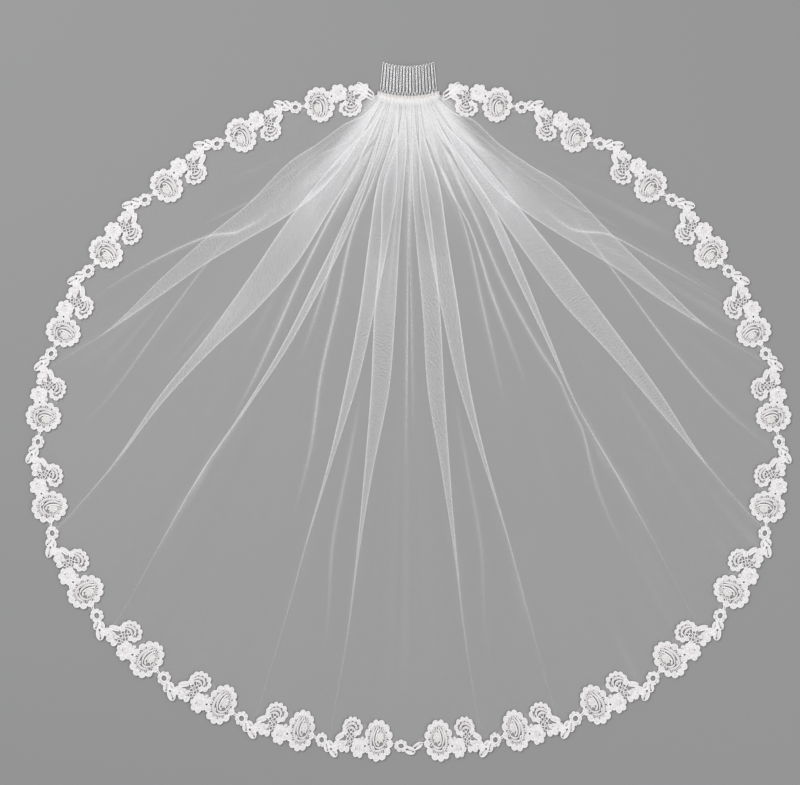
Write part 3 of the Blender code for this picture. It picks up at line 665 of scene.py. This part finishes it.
# The outermost cloth is thinner, the pleats are fuller, and edges and tails stand out
beyond = falling(fan_line, 1.95, 0.7) + rising(fan_line, 21.05, 0.7)
cover *= 1 - 0.25 * beyond * np.exp(-out * 2.5)
cover *= 1 + pleated * np.interp(out, (0.15, 0.30), (0.12, 0.38))
cover += 1.05 * edge_line * np.clip(1.1 - out * 0.6, 0, 1) * (0.8 + 0.2 * smooth_noise(cloth, 21, 0.02))
frayed = 0.7 + 0.5 * smooth_noise(cloth, 71, 0.004) + 0.3 * smooth_noise(out + cloth, 73, 0.02)
cover += 0.19 * brushed * frayed
cover = np.clip(cover, 0, 0.92)

points = np.concatenate([plan, height[..., None]], -1).reshape(-1, 3)
grid = np.arange(ROW_COUNT * COLUMN_COUNT).reshape(ROW_COUNT, COLUMN_COUNT)
quads = np.stack([grid[:-1, :-1], grid[1:, :-1], grid[1:, 1:], grid[:-1, 1:]], -1).reshape(-1, 4)
tulle_mesh = bpy.data.meshes.new("tulle_net")
tulle_mesh.from_pydata(points.tolist(), [], quads.tolist())
tulle = bpy.data.objects.new("tulle_net", tulle_mesh)
bpy.context.scene.collection.objects.link(tulle)
for name, values in (("closeness", cover), ("doubled", pleated)):
    share = tulle_mesh.attributes.new(name, "FLOAT", "POINT")
    share.data.foreach_set("value", values.reshape(-1).astype(np.float32))

# Each run of cloth has its own lie of the net, so that the holes of two layers don't fall together
NET_TURN = 17.0
NET_SHIFT = 0.0137
quad_run = np.broadcast_to(runs[None, :-1], (ROW_COUNT - 1, COLUMN_COUNT - 1)).reshape(-1)
turned = np.radians(NET_TURN * quad_run)[:, None]
corner_x = points[quads][..., 0]
corner_y = points[quads][..., 1]
map_u = corner_x * np.cos(turned) - corner_y * np.sin(turned) + NET_SHIFT * quad_run[:, None]
map_v = corner_x * np.sin(turned) + corner_y * np.cos(turned)
net_map = tulle_mesh.uv_layers.new(name="net")
net_map.data.foreach_set("uv", np.stack([map_u, map_v], -1).reshape(-1).astype(np.float32))
lone(tulle)
bpy.ops.object.shade_smooth()


def net_threads(shades, place, scale, unevenness):
    """A value of 1 on the threads of a net and 0 in its holes."""
    cells = shades.node("ShaderNodeTexVoronoi", {"voronoi_dimensions": "2D", "feature": "DISTANCE_TO_EDGE"},
                        {"Vector": place, "Scale": scale, "Randomness": unevenness}, "Distance")
    return 1.0 - (cells * 5.0).clamped()


# The mesh of the net is about two millimetres wide. It closes up where the cloth is drawn together, and
# the crossing meshes of a pleat's layers show as a faint watered pattern.
net_finish, net_shader, shades = new_finish("nylon net", 0.75)
lie = shades.node("ShaderNodeUVMap", {"uv_map": "net"}, {})
threads = net_threads(shades, lie, 470.0, 0.35)
covered = shades.node("ShaderNodeAttribute", {"attribute_name": "closeness"}, {}, "Fac")
layered = shades.node("ShaderNodeAttribute", {"attribute_name": "doubled"}, {}, "Fac")
slub = shades.noise(lie, 55.0, 4.0)
grain = shades.noise(lie, 360.0, 1.0)
wave_values = {"Vector": lie, "Scale": 96.0, "Distortion": 9.0, "Detail": 2.0, "Detail Scale": 0.5}
crossing = shades.node("ShaderNodeTexWave", {"wave_type": "BANDS", "bands_direction": "DIAGONAL"},
                       wave_values, "Fac")
open_net = (threads * 1.5 + 0.35) * (1.0 - covered) + covered * 1.1
watered = layered * (crossing - 0.5) * (1.0 - covered * 3.0).clamped()
uneven = ((slub - 0.5) * 0.4 + (grain - 0.5) * (1.1 - covered) * 1.7 + watered * 1.1) + 1.0
feed(net_shader, "Alpha", (covered * open_net * uneven).clamped())
feed(net_shader, "Base Color", covered.clamped().mixed((0.785, 0.78, 0.795, 1), (0.81, 0.80, 0.805, 1)))
net_shader.inputs["Sheen Weight"].default_value = 0.15
tulle_mesh.materials.append(net_finish)

# Net this sheer leaves no shadow to be seen on the floor
tulle.visible_shadow = False

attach(tulle, "root")
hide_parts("tulle")


# Lace trim
# Corded lace on fine net, sewn by hand over the raw edge of the tulle. Each repeat has a rose, a spray of
# leaves with a curled bud, a small flower, and a ring with open leaves that links it to the next rose.
# Its padded satin forms are edged with thick twisted cord, and pearls lie at their hearts.

# The widths of a row of stitches, and the length of one turn of the two-ply cord, in millimetres
SATIN_ROW = 0.55
HEART_ROW = 0.5
CORD_TURN = 1.5
CORD_PLIES = 2.0

satin, satin_shader, shades = new_finish("padded satin stitch", 0.5)
stitch_map = shades.node("ShaderNodeUVMap", {"uv_map": "UVMap"}, {})
stitch_along = shades.node("ShaderNodeSeparateXYZ", {}, {"Vector": stitch_map}, "X")
stitch_wander = shades.noise(stitch_map, 0.9, 2.0)
stitch_rows = ((stitch_along + stitch_wander * 0.35) * (2 * math.pi / SATIN_ROW)).wave()
here = shades.node("ShaderNodeTexCoord", {}, {}, "Object")
patches = shades.noise(here, 90.0, 3.0)
# The base colour is lighter along each row of stitches and in broad patches: a painted sheen on the satin
painted_satin_sheen = stitch_rows * 0.35 + patches * 0.65
feed(satin_shader, "Base Color", painted_satin_sheen.mixed((0.75, 0.71, 0.72, 1), (0.97, 0.955, 0.96, 1)))
feed(satin_shader, "Roughness", stitch_rows * 0.2 + 0.38)
raise_surface(shades, satin_shader, stitch_rows * 0.6 + stitch_wander * 0.4, 0.00022)

cord_finish, cord_shader, shades = new_finish("twisted lace cord", 0.45)
cord_map = shades.node("ShaderNodeUVMap", {"uv_map": "UVMap"}, {})
cord_along = shades.node("ShaderNodeSeparateXYZ", {}, {"Vector": cord_map}, "X")
cord_around = shades.node("ShaderNodeSeparateXYZ", {}, {"Vector": cord_map}, "Y")
cord_lay = ((cord_along * (1 / CORD_TURN) + cord_around * CORD_PLIES) * (2 * math.pi)).wave()
feed(cord_shader, "Base Color", cord_lay.mixed((0.90, 0.88, 0.885, 1), (0.99, 0.985, 0.985, 1)))
raise_surface(shades, cord_shader, cord_lay, 0.00018)

cream, cream_shader, shades = new_finish("cream satin heart", 0.5)
cream_map = shades.node("ShaderNodeUVMap", {"uv_map": "UVMap"}, {})
cream_along = shades.node("ShaderNodeSeparateXYZ", {}, {"Vector": cream_map}, "X")
cream_rows = (cream_along * (2 * math.pi / HEART_ROW)).wave()
feed(cream_shader, "Base Color", cream_rows.mixed((0.92, 0.90, 0.87, 1), (0.985, 0.975, 0.955, 1)))
raise_surface(shades, cream_shader, cream_rows, 0.0002)

pearl, pearl_shader, shades = new_finish("small pearls", 0.22)
here = shades.node("ShaderNodeTexCoord", {}, {}, "Object")
lustre = shades.noise(here, 700.0, 2.0)
feed(pearl_shader, "Base Color", lustre.mixed((0.90, 0.87, 0.83, 1), (0.97, 0.95, 0.94, 1)))
pearl_shader.inputs["Coat Weight"].default_value = 0.6
pearl_shader.inputs["Coat Roughness"].default_value = 0.1

ground, ground_shader, shades = new_finish("net ground of the lace", 0.7)
here = shades.node("ShaderNodeTexCoord", {}, {}, "Object")
ground_threads = net_threads(shades, here, 900.0, 0.3)
feed(ground_shader, "Alpha", (ground_threads * 0.3 + 0.03).clamped())
feed(ground_shader, "Base Color", ground_threads.mixed((0.72, 0.66, 0.68, 1), (0.86, 0.82, 0.84, 1)))

# The lace is drawn flat, in millimetres and degrees. From the middle of a rose, s runs along the trim and
# n out to its edge, and a turn of 0 faces along s. Pads, ribs and pearls are copies of three patterns.
PAD_LOW = 0.25
RIB_LOW = 0.2
CORD_LOW = 0.2
GROUND_LEVEL = 0.12
GROUND_CORNERS = 20
UNDERSIDE = 0.04


def facing(turn):
    """The cosine and the sine of an angle in degrees."""
    turned = math.radians(turn)
    return math.cos(turned), math.sin(turned)


def placed(s, n, x, y, turn):
    """Where the point (x, y) of a form comes to lie when the form is turned and set down at (s, n)."""
    c, d = facing(turn)
    return s + x * c - y * d, n + x * d + y * c


def ball(name, segments, rings):
    bpy.ops.object.select_all(action="DESELECT")
    bpy.ops.mesh.primitive_uv_sphere_add(segments=segments, ring_count=rings, radius=1)
    made = bpy.context.object
    made.name = name
    bpy.ops.object.shade_smooth()
    return made


def half_round(name, segments, rings):
    """A ball with its underside pressed nearly flat."""
    made = ball(name, segments, rings)
    for corner in made.data.vertices:
        if corner.co.z < 0:
            corner.co.z *= UNDERSIDE
    return made


pad_pattern = half_round("pad", 12, 7)
rib_pattern = half_round("rib", 8, 5)
pearl_pattern = ball("pearl", 7, 5)


def sew(pattern, finish, s, n, length, width, height, turn, low):
    """Copies a pattern to its place in the drawing, with its stitches counted along its length."""
    made = bpy.data.objects.new("form", pattern.data.copy())
    bpy.context.scene.collection.objects.link(made)
    half_length = length / 2
    half_width = width / 2
    layer = made.data.uv_layers[0].data
    for loop in made.data.loops:
        corner = made.data.vertices[loop.vertex_index].co
        layer[loop.index].uv = (corner.x * half_length, corner.y * half_width)
    for corner in made.data.vertices:
        x, y, high = corner.co
        corner.co = (*placed(s, n, x * half_length, y * half_width, turn), low + high * height)
    made.data.materials.clear()
    made.data.materials.append(finish)
    return made


def pad(s, n, length, width, turn, height=1.2, finish=satin):
    """A broad padded form in satin stitch."""
    return [sew(pad_pattern, finish, s, n, length, width, height, turn, PAD_LOW)]


def rib(s, n, length, width, turn, height=0.9, finish=satin):
    """A narrow padded form, with fewer faces."""
    return [sew(rib_pattern, finish, s, n, length, width, height, turn, RIB_LOW)]


def bead(s, n, size, low=1.2):
    return [sew(pearl_pattern, pearl, s, n, size, size, size / 2, 0, low)]


def cord(points, radius=0.75, closed=False, finish=cord_finish, flat=1.0, ends=1.0):
    """A thick cord, or a flat satin bar, laid through points (s, n) and narrowed at its ends."""
    level = CORD_LOW + radius * flat
    last = len(points) - 1
    path = [(*point, level, ends if count in (0, last) else 1) for count, point in enumerate(points)]
    made = wires("cord", [(path, closed)], radius, 2, finish)
    length = sum(math.dist(a[:2], b[:2]) for a, b in zip(path, path[1:]))
    for corner in made.data.vertices:
        corner.co.z = level + (corner.co.z - level) * flat
    for loop in made.data.uv_layers[0].data:
        loop.uv = (loop.uv[0] * length, loop.uv[1])
    return [made]


def crescent(points, radius):
    """A curved satin bar that tapers to both ends."""
    return cord(points, radius, finish=satin, flat=0.6, ends=0.25)


def bow(s, n, reach_s, reach_n, begin, stop, turn=0.0, count=6):
    """Points on part of an oval round (s, n), between two angles."""
    points = []
    for i in range(count):
        c, d = facing(begin + (stop - begin) * i / (count - 1))
        points.append(placed(s, n, reach_s * c, reach_n * d, turn))
    return points


def oval(s, n, reach_s, reach_n, turn=0.0, count=8):
    """Points all the way round an oval, for a closed cord or an edge."""
    return bow(s, n, reach_s, reach_n, 0, 360 * (count - 1) / count, turn, count)


def around(s, n, reach_s, reach_n, count, first=0.0):
    """Places evenly round an oval, each with the direction that it faces."""
    for i in range(count):
        turn = first + 360 * i / count
        c, d = facing(turn)
        yield s + reach_s * c, n + reach_n * d, turn


def to_oval(from_s, from_n, turn, reach_s, reach_n):
    """How far an oval round (0, 0) is from a point inside it, in one direction."""
    c, d = facing(turn)
    p = from_s / reach_s
    q = from_n / reach_n
    a = (c / reach_s) ** 2 + (d / reach_n) ** 2
    b = p * c / reach_s + q * d / reach_n
    return (-b + math.sqrt(b * b - a * (p * p + q * q - 1))) / a


def net_patch(s, n, reach_s, reach_n, turn=0.0):
    """An oval of the net ground, which lies under the other forms."""
    bpy.ops.object.select_all(action="DESELECT")
    bpy.ops.mesh.primitive_circle_add(vertices=GROUND_CORNERS, radius=1, fill_type="NGON")
    made = bpy.context.object
    made.data.uv_layers.new(name="UVMap")
    for corner, point in zip(made.data.vertices, oval(s, n, reach_s, reach_n, turn, GROUND_CORNERS)):
        corner.co = (*point, GROUND_LEVEL)
    made.data.materials.append(ground)
    return [made]


def scallop(s, n, length, width, turn, thick=0.75, open_angle=115):
    """A padded lobe with cord round its outer side."""
    forms = pad(s, n, length - 0.8, width - 0.8, turn, 1.25)
    return forms + cord(bow(s, n, length / 2, width / 2, -open_angle, open_angle, turn), thick)


def rose():
    """Thirteen lobes, ribs and curled bars inside them, and a cream heart ringed with pearls."""
    forms = net_patch(0.8, -0.4, 19, 21.5) + net_patch(-22, -8, 8, 10) + net_patch(25, 3, 8, 7)
    for s, n, turn in around(0.8, -0.4, 17.4, 20.4, 13, 9):
        forms += scallop(s, n, 9.6, 10.0, turn, 0.8)
    heart_s = 4.2
    heart_n = -3.8
    for count in range(12):
        turn = -118 + 15 * count
        c, d = facing(turn)
        far = to_oval(heart_s - 0.8, heart_n + 1, turn, 13.9, 17.6)
        middle = (far + 7.4) / 2
        forms += rib(heart_s + middle * c, heart_n + middle * d, max(2.6, far - 5.0), 2.2, turn, 1.0)
    for s, n, turn in around(0.4, -0.6, 12.4, 16.2, 34, 40):
        if 40 <= turn <= 245:
            forms += rib(s, n, 5.4, 1.9, turn, 0.9)
    forms += crescent([(-5, 13), (-9.4, 6.4), (-10.4, -1.5), (-8.6, -9.5), (-3, -18)], 2.2)
    forms += crescent([(-1.4, 7.4), (-5.4, 2.4), (-6.2, -4), (-4.2, -11), (1.6, -17.8)], 1.9)
    forms += crescent([(-6.2, 10.4), (-0.6, 13.4), (5.6, 12.8), (11.6, 7.6)], 2.1)
    forms += crescent([(-2.0, 7.4), (3.2, 10.0), (8.6, 8.2), (12.0, 2.0)], 2.0)
    forms += cord([(-0.6, 3), (-2.6, -3.4), (-0.8, -9.6), (3.2, -14)], 1.15)
    forms += pad(-4.6, 8.4, 6.4, 3.6, 52, 0.9) + pad(1.4, 4.4, 7.0, 3.2, 34, 0.9)
    forms += pad(heart_s + 0.4, heart_n - 0.4, 11.5, 13.5, 0, 0.9)
    for s, n, turn in around(heart_s, heart_n, 2.7, 3.2, 6, 20):
        forms += rib(s, n, 5.2, 3.4, turn, 1.7, cream)
    for s, n, turn in around(heart_s + 0.2, heart_n - 0.4, 5.6, 6.7, 8, 6):
        forms += bead(s, n, 1.7, 0.8)
    forms += bead(heart_s, heart_n, 2.2, 1.6)
    return forms


def flower():
    """Six petals round a cluster of pearls, and a corded ring and a pad between them and the rose."""
    middle_s = -28.8
    middle_n = 10.2
    forms = pad(middle_s, middle_n, 8.4, 8.4, 0, 0.9)
    for turn in (122, 68, 12, -44, -98, -152):
        c, d = facing(turn)
        forms += scallop(middle_s + 7.0 * c, middle_n + 7.4 * d, 10.4, 9.2, turn, 0.7, 130)
    for s, n, turn in around(middle_s, middle_n, 2.6, 2.6, 5, 0):
        forms += bead(s, n, 1.5, 1.3)
    forms += bead(middle_s, middle_n, 2.6, 1.6)
    forms += cord(oval(-20.4, 2.4, 2.3, 2.1), 0.6, True) + pad(-24.0, -1.6, 6.4, 5.2, -20)
    return forms


def spray():
    """Nine leaves with raised ribs round a middle of small corded rings."""
    forms = net_patch(-50, 2.5, 17, 10.5, 8)
    leaves = (
        (-66.6, 12.8, 12.0, 7.6, 142), (-64.4, 7.2, 13.5, 8.4, 152), (-55.4, 11.8, 11.6, 11.0, 112),
        (-47.4, 12.4, 9.4, 8.8, 84), (-61.2, -1.4, 18.0, 7.6, 150), (-53.6, -8.0, 10.5, 7.6, 205),
        (-37.6, 11.6, 8.6, 7.6, 62), (-35.0, 2.6, 8.6, 9.0, 10), (-36.0, -6.2, 8.6, 7.2, -34),
    )
    for s, n, length, width, turn in leaves:
        forms += scallop(s, n, length, width, turn, 0.75, 140)
        c, d = facing(turn)
        foot = (s - 0.42 * length * c, n - 0.42 * length * d)
        tip = (s + 0.3 * length * c, n + 0.3 * length * d)
        forms += cord([foot, (s, n), tip], 0.45, flat=2.4, ends=0.4)
    forms += pad(-57.0, 5.0, 9, 5.2, 165) + pad(-50.8, 5.4, 7.5, 6, 120)
    for s, n in ((-44.2, 6.0), (-47.4, 0.4), (-41.2, 0.6), (-49.2, -5.2), (-42.6, -5.4), (-43.8, -10.8)):
        forms += cord(oval(s, n, 2.9, 2.7, 0, 7), 0.62, True)
    forms += bead(-44.4, -2.4, 1.5, 0.8) + bead(-52.6, 3.4, 1.5, 0.8) + bead(-40.2, 5.6, 1.3, 0.8)
    return forms


def bud():
    """A bud on the inner side of the spray: seven lobes round two curled bars."""
    forms = net_patch(-42.5, -15.5, 13, 7)
    lobes = (
        (-55.0, -13.6, 186), (-52.6, -19.0, 222), (-46.6, -22.4, 250), (-39.4, -22.8, 275),
        (-32.4, -20.2, 308), (-28.2, -14.4, 352), (-30.6, -8.8, 40),
    )
    for s, n, turn in lobes:
        forms += scallop(s, n, 7.6, 7.8, turn, 0.7)
    forms += crescent([(-53.4, -10.8), (-50.2, -16.4), (-43.4, -19.2), (-36.4, -17.8), (-32.8, -12.2)], 2.0)
    forms += crescent([(-51.4, -10.2), (-46.6, -14.4), (-40.4, -14.8), (-36.8, -9.6)], 2.4)
    forms += cord([(-37.0, -15.8), (-34.8, -12), (-35.6, -8.6)], 0.9)
    forms += bead(-44.4, -15.8, 1.3, 0.8)
    return forms


def link_ring(s, n):
    """A corded ring with seven short petals round it."""
    forms = net_patch(s, n, 5.4, 4.6, 12) + cord(oval(s, n, 5.4, 4.6, 12), 1.1, True)
    for at_s, at_n, turn in around(s, n, 6.8, 6.2, 7, 12):
        forms += rib(at_s, at_n, 5.0, 7.0, turn, 1.4)
        forms += cord(bow(at_s, at_n, 2.5, 3.1, -80, 80, turn), 0.5)
    return forms + bead(s - 5.8, n - 4.6, 1.3, 1.1)


def open_leaf(s, n, length, width, turn):
    """A leaf of two narrow halves with a slit between them, edged with cord."""
    c, d = facing(turn)
    forms = cord(oval(s, n, length / 2 - 0.4, width / 2 - 0.4, turn), 0.8, True)
    for hand in (-1, 1):
        aside = hand * width * 0.24
        forms += pad(s - aside * d, n + aside * c, length * 0.86, width * 0.46, turn - hand * 5, 1.2)
    return forms


def links():
    """Two stems, the ring and the leaves that join a rose to the next spray."""
    forms = cord([(20, 1.2), (24, 3.0), (29.5, 4.4)], 0.9)
    forms += cord([(20, 4.6), (24.5, 4.8), (29.5, 6.4)], 0.7)
    forms += link_ring(36.2, 5.8)
    forms += open_leaf(46.4, 13.2, 13.6, 10.6, 66) + open_leaf(50.6, 9.4, 12.4, 9.0, 20)
    forms += open_leaf(57.4, 17.6, 18.4, 11.4, 36) + pad(61.0, 11.4, 11, 7.6, 24)
    return forms


def joined(forms, name):
    """One mesh of all the forms that make up a length of lace."""
    bpy.ops.object.select_all(action="DESELECT")
    for form in forms:
        form.select_set(True)
    bpy.context.view_layer.objects.active = forms[0]
    bpy.ops.object.join()
    forms[0].name = name
    return forms[0]


def drawn_repeat(name, linked=True, corner=False):
    """A whole repeat, with its links to the next one, and two long open leaves at a corner of the band."""
    forms = rose() + flower() + spray() + bud()
    if linked:
        forms += links()
    if corner:
        forms += open_leaf(-67.0, 9.4, 31, 9.0, 44) + open_leaf(-65.4, 2.6, 31, 8.4, 32)
    return joined(forms, name)


# Twelve repeats a side run from the corners of the band to the bottom centre. How far the first rose is
# from the band, and each from the one before it, is in millimetres along the hem.
REPEAT_COUNT = 12
LACE_REPEAT = 126.0
FIRST_ROSE_AT = 80.5
ROSE_GAPS = (117, 127, 126, 127, 122, 127, 130, 129, 122, 118, 107)
LACE_LIFT = 0.0013
START_ANGLE = 172.0
LACE_STEPS = 1441
BEYOND_BAND = 0.0015
BELOW_BAR = 0.006
lace_angles = np.linspace(START_ANGLE, 0, LACE_STEPS)
lace_way = lace_line(lace_angles, 1)
lace_start = np.array([BAND_HALF_WIDTH + BEYOND_BAND, comb_line(BAND_HALF_WIDTH) - BELOW_BAR])
lace_steps = np.linalg.norm(np.diff(lace_way, axis=0), axis=1)
lace_lengths = np.linalg.norm(lace_way[0] - lace_start) + np.concatenate([[0], np.cumsum(lace_steps)])


def lay_lace(pattern, name, node, place):
    """Copies a length of lace, moves its points by a rule, and rides it in place of its solid."""
    piece = bpy.data.objects.new(name, pattern.data.copy())
    bpy.context.scene.collection.objects.link(piece)
    drawn = np.zeros(len(piece.data.vertices) * 3)
    piece.data.vertices.foreach_get("co", drawn)
    piece.data.vertices.foreach_set("co", place(drawn.reshape(-1, 3)).reshape(-1))
    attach(piece, "root")
    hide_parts(node)
    return piece


def along_hem(rose_at, before, after, side):
    """The rule that bends a drawn repeat round the hem, easing it to the gaps on its two sides.

    Up to where the oval begins, it follows a straight line from the band. The lace is deeper towards the
    bottom centre.
    """
    def place(drawn):
        s, n, high = drawn.T
        distance = (rose_at + s * np.where(s < 0, before, after) / LACE_REPEAT) * MM
        degrees = np.interp(distance, lace_lengths, lace_angles)
        start = lace_start * np.array([side, 1])
        first = lace_way[0] * np.array([side, 1])
        part = (distance / lace_lengths[0])[:, None]
        centre = np.where(part < 1, start + (first - start) * part, lace_line(degrees, side))
        deeper = 1 + 0.18 * falling(degrees, 85, 60)
        plan = centre + lace_outwards(degrees, side) * (n * deeper * MM)[:, None]
        return np.column_stack([plan, LACE_LIFT + high * MM])
    return place


repeats = {
    "first": drawn_repeat("lace_first", corner=True),
    "middle": drawn_repeat("lace_middle"),
    "last": drawn_repeat("lace_last", linked=False),
}
rose_at = FIRST_ROSE_AT
gaps = (LACE_REPEAT, *ROSE_GAPS, LACE_REPEAT)
for count in range(REPEAT_COUNT):
    kind = "first" if count == 0 else "last" if count == REPEAT_COUNT - 1 else "middle"
    for side, word in ((-1, "left"), (1, "right")):
        name = f"lace_{word}_{count + 1:02d}"
        rule = along_hem(rose_at, gaps[count], gaps[count + 1], side)
        piece = lay_lace(repeats[kind], f"corded_{name}", name, rule)
        if side == 1:
            piece.data.flip_normals()
    rose_at += gaps[count + 1]

# A short link of a ring and two open leaves joins the two lengths at the bottom centre
bottom_x, bottom_y = lace_line(np.array([0.0]), 1)[0]


def at_bottom(drawn):
    """The rule that lays the drawn link at the bottom centre, with its outer side down."""
    s, n, high = drawn.T
    return np.column_stack([bottom_x + s * MM, bottom_y - n * MM, LACE_LIFT + high * MM])


link_forms = cord([(-24, 1.6), (-20, 3.2), (-16.5, 4.6)], 0.5) + link_ring(-10.5, 6)
link_forms += open_leaf(2, 12.5, 17, 12, 20) + open_leaf(13, 6, 17, 9, -35)
link_forms += cord([(19, 1), (22, 1.4), (26, 1)], 0.5)
repeats["bottom"] = joined(link_forms, "lace_bottom")
bottom_link = lay_lace(repeats["bottom"], "corded_lace_bottom_link", "lace_bottom_link", at_bottom)
bottom_link.data.flip_normals()
for pattern in (*repeats.values(), pad_pattern, rib_pattern, pearl_pattern):
    bpy.data.objects.remove(pattern)


# Floor, light and camera
# A plain pale floor just under the veil, two broad soft lamps above it, the stronger one to the upper
# left, and a camera that looks straight down.

FLOOR_SIZE = 24
FLOOR_LEVEL = -0.0004
floor_finish, floor_shader, shades = new_finish("pale floor", 0.9)
floor_shader.inputs["Base Color"].default_value = (0.288, 0.288, 0.292, 1)
bpy.ops.object.select_all(action="DESELECT")
bpy.ops.mesh.primitive_plane_add(size=FLOOR_SIZE, location=(0, 0, FLOOR_LEVEL))
floor = bpy.context.object
floor.name = "floor"
floor.data.materials.append(floor_finish)

# Each lamp's name, place, width in metres and power in watts
LAMPS = (
    ("key", (-1.4, 1.3, 2.6), 1.8, 56.0),
    ("fill", (1.8, -0.9, 2.6), 2.4, 37.0),
)
for name, place, size, power in LAMPS:
    bpy.ops.object.light_add(type="AREA", location=place)
    lamp = bpy.context.object
    lamp.name = name
    lamp.data.shape = "SQUARE"
    lamp.data.size = size
    lamp.data.energy = power
    lamp.rotation_euler = Vector(place).to_track_quat("Z", "Y").to_euler()
world = bpy.data.worlds.new("soft room")
world.use_nodes = True
room_light = world.node_tree.nodes["Background"]
room_light.inputs["Color"].default_value = (1, 1, 1, 1)
room_light.inputs["Strength"].default_value = 0.42
bpy.context.scene.world = world

MIDDLE = (-0.0119, 0.0263)
DISTANCE = 3.4
VIEW_WIDTH = 1.12
SENSOR_WIDTH = 36
bpy.ops.object.camera_add(location=(*MIDDLE, DISTANCE), rotation=(0, 0, 0))
camera = bpy.context.object
camera.data.sensor_width = SENSOR_WIDTH
camera.data.lens = SENSOR_WIDTH * DISTANCE / VIEW_WIDTH
bpy.context.scene.camera = camera
bpy.context.scene.view_settings.view_transform = "Standard"

# A ray crosses many layers of net and lace before it meets the floor
bpy.context.scene.cycles.transparent_max_bounces = 48
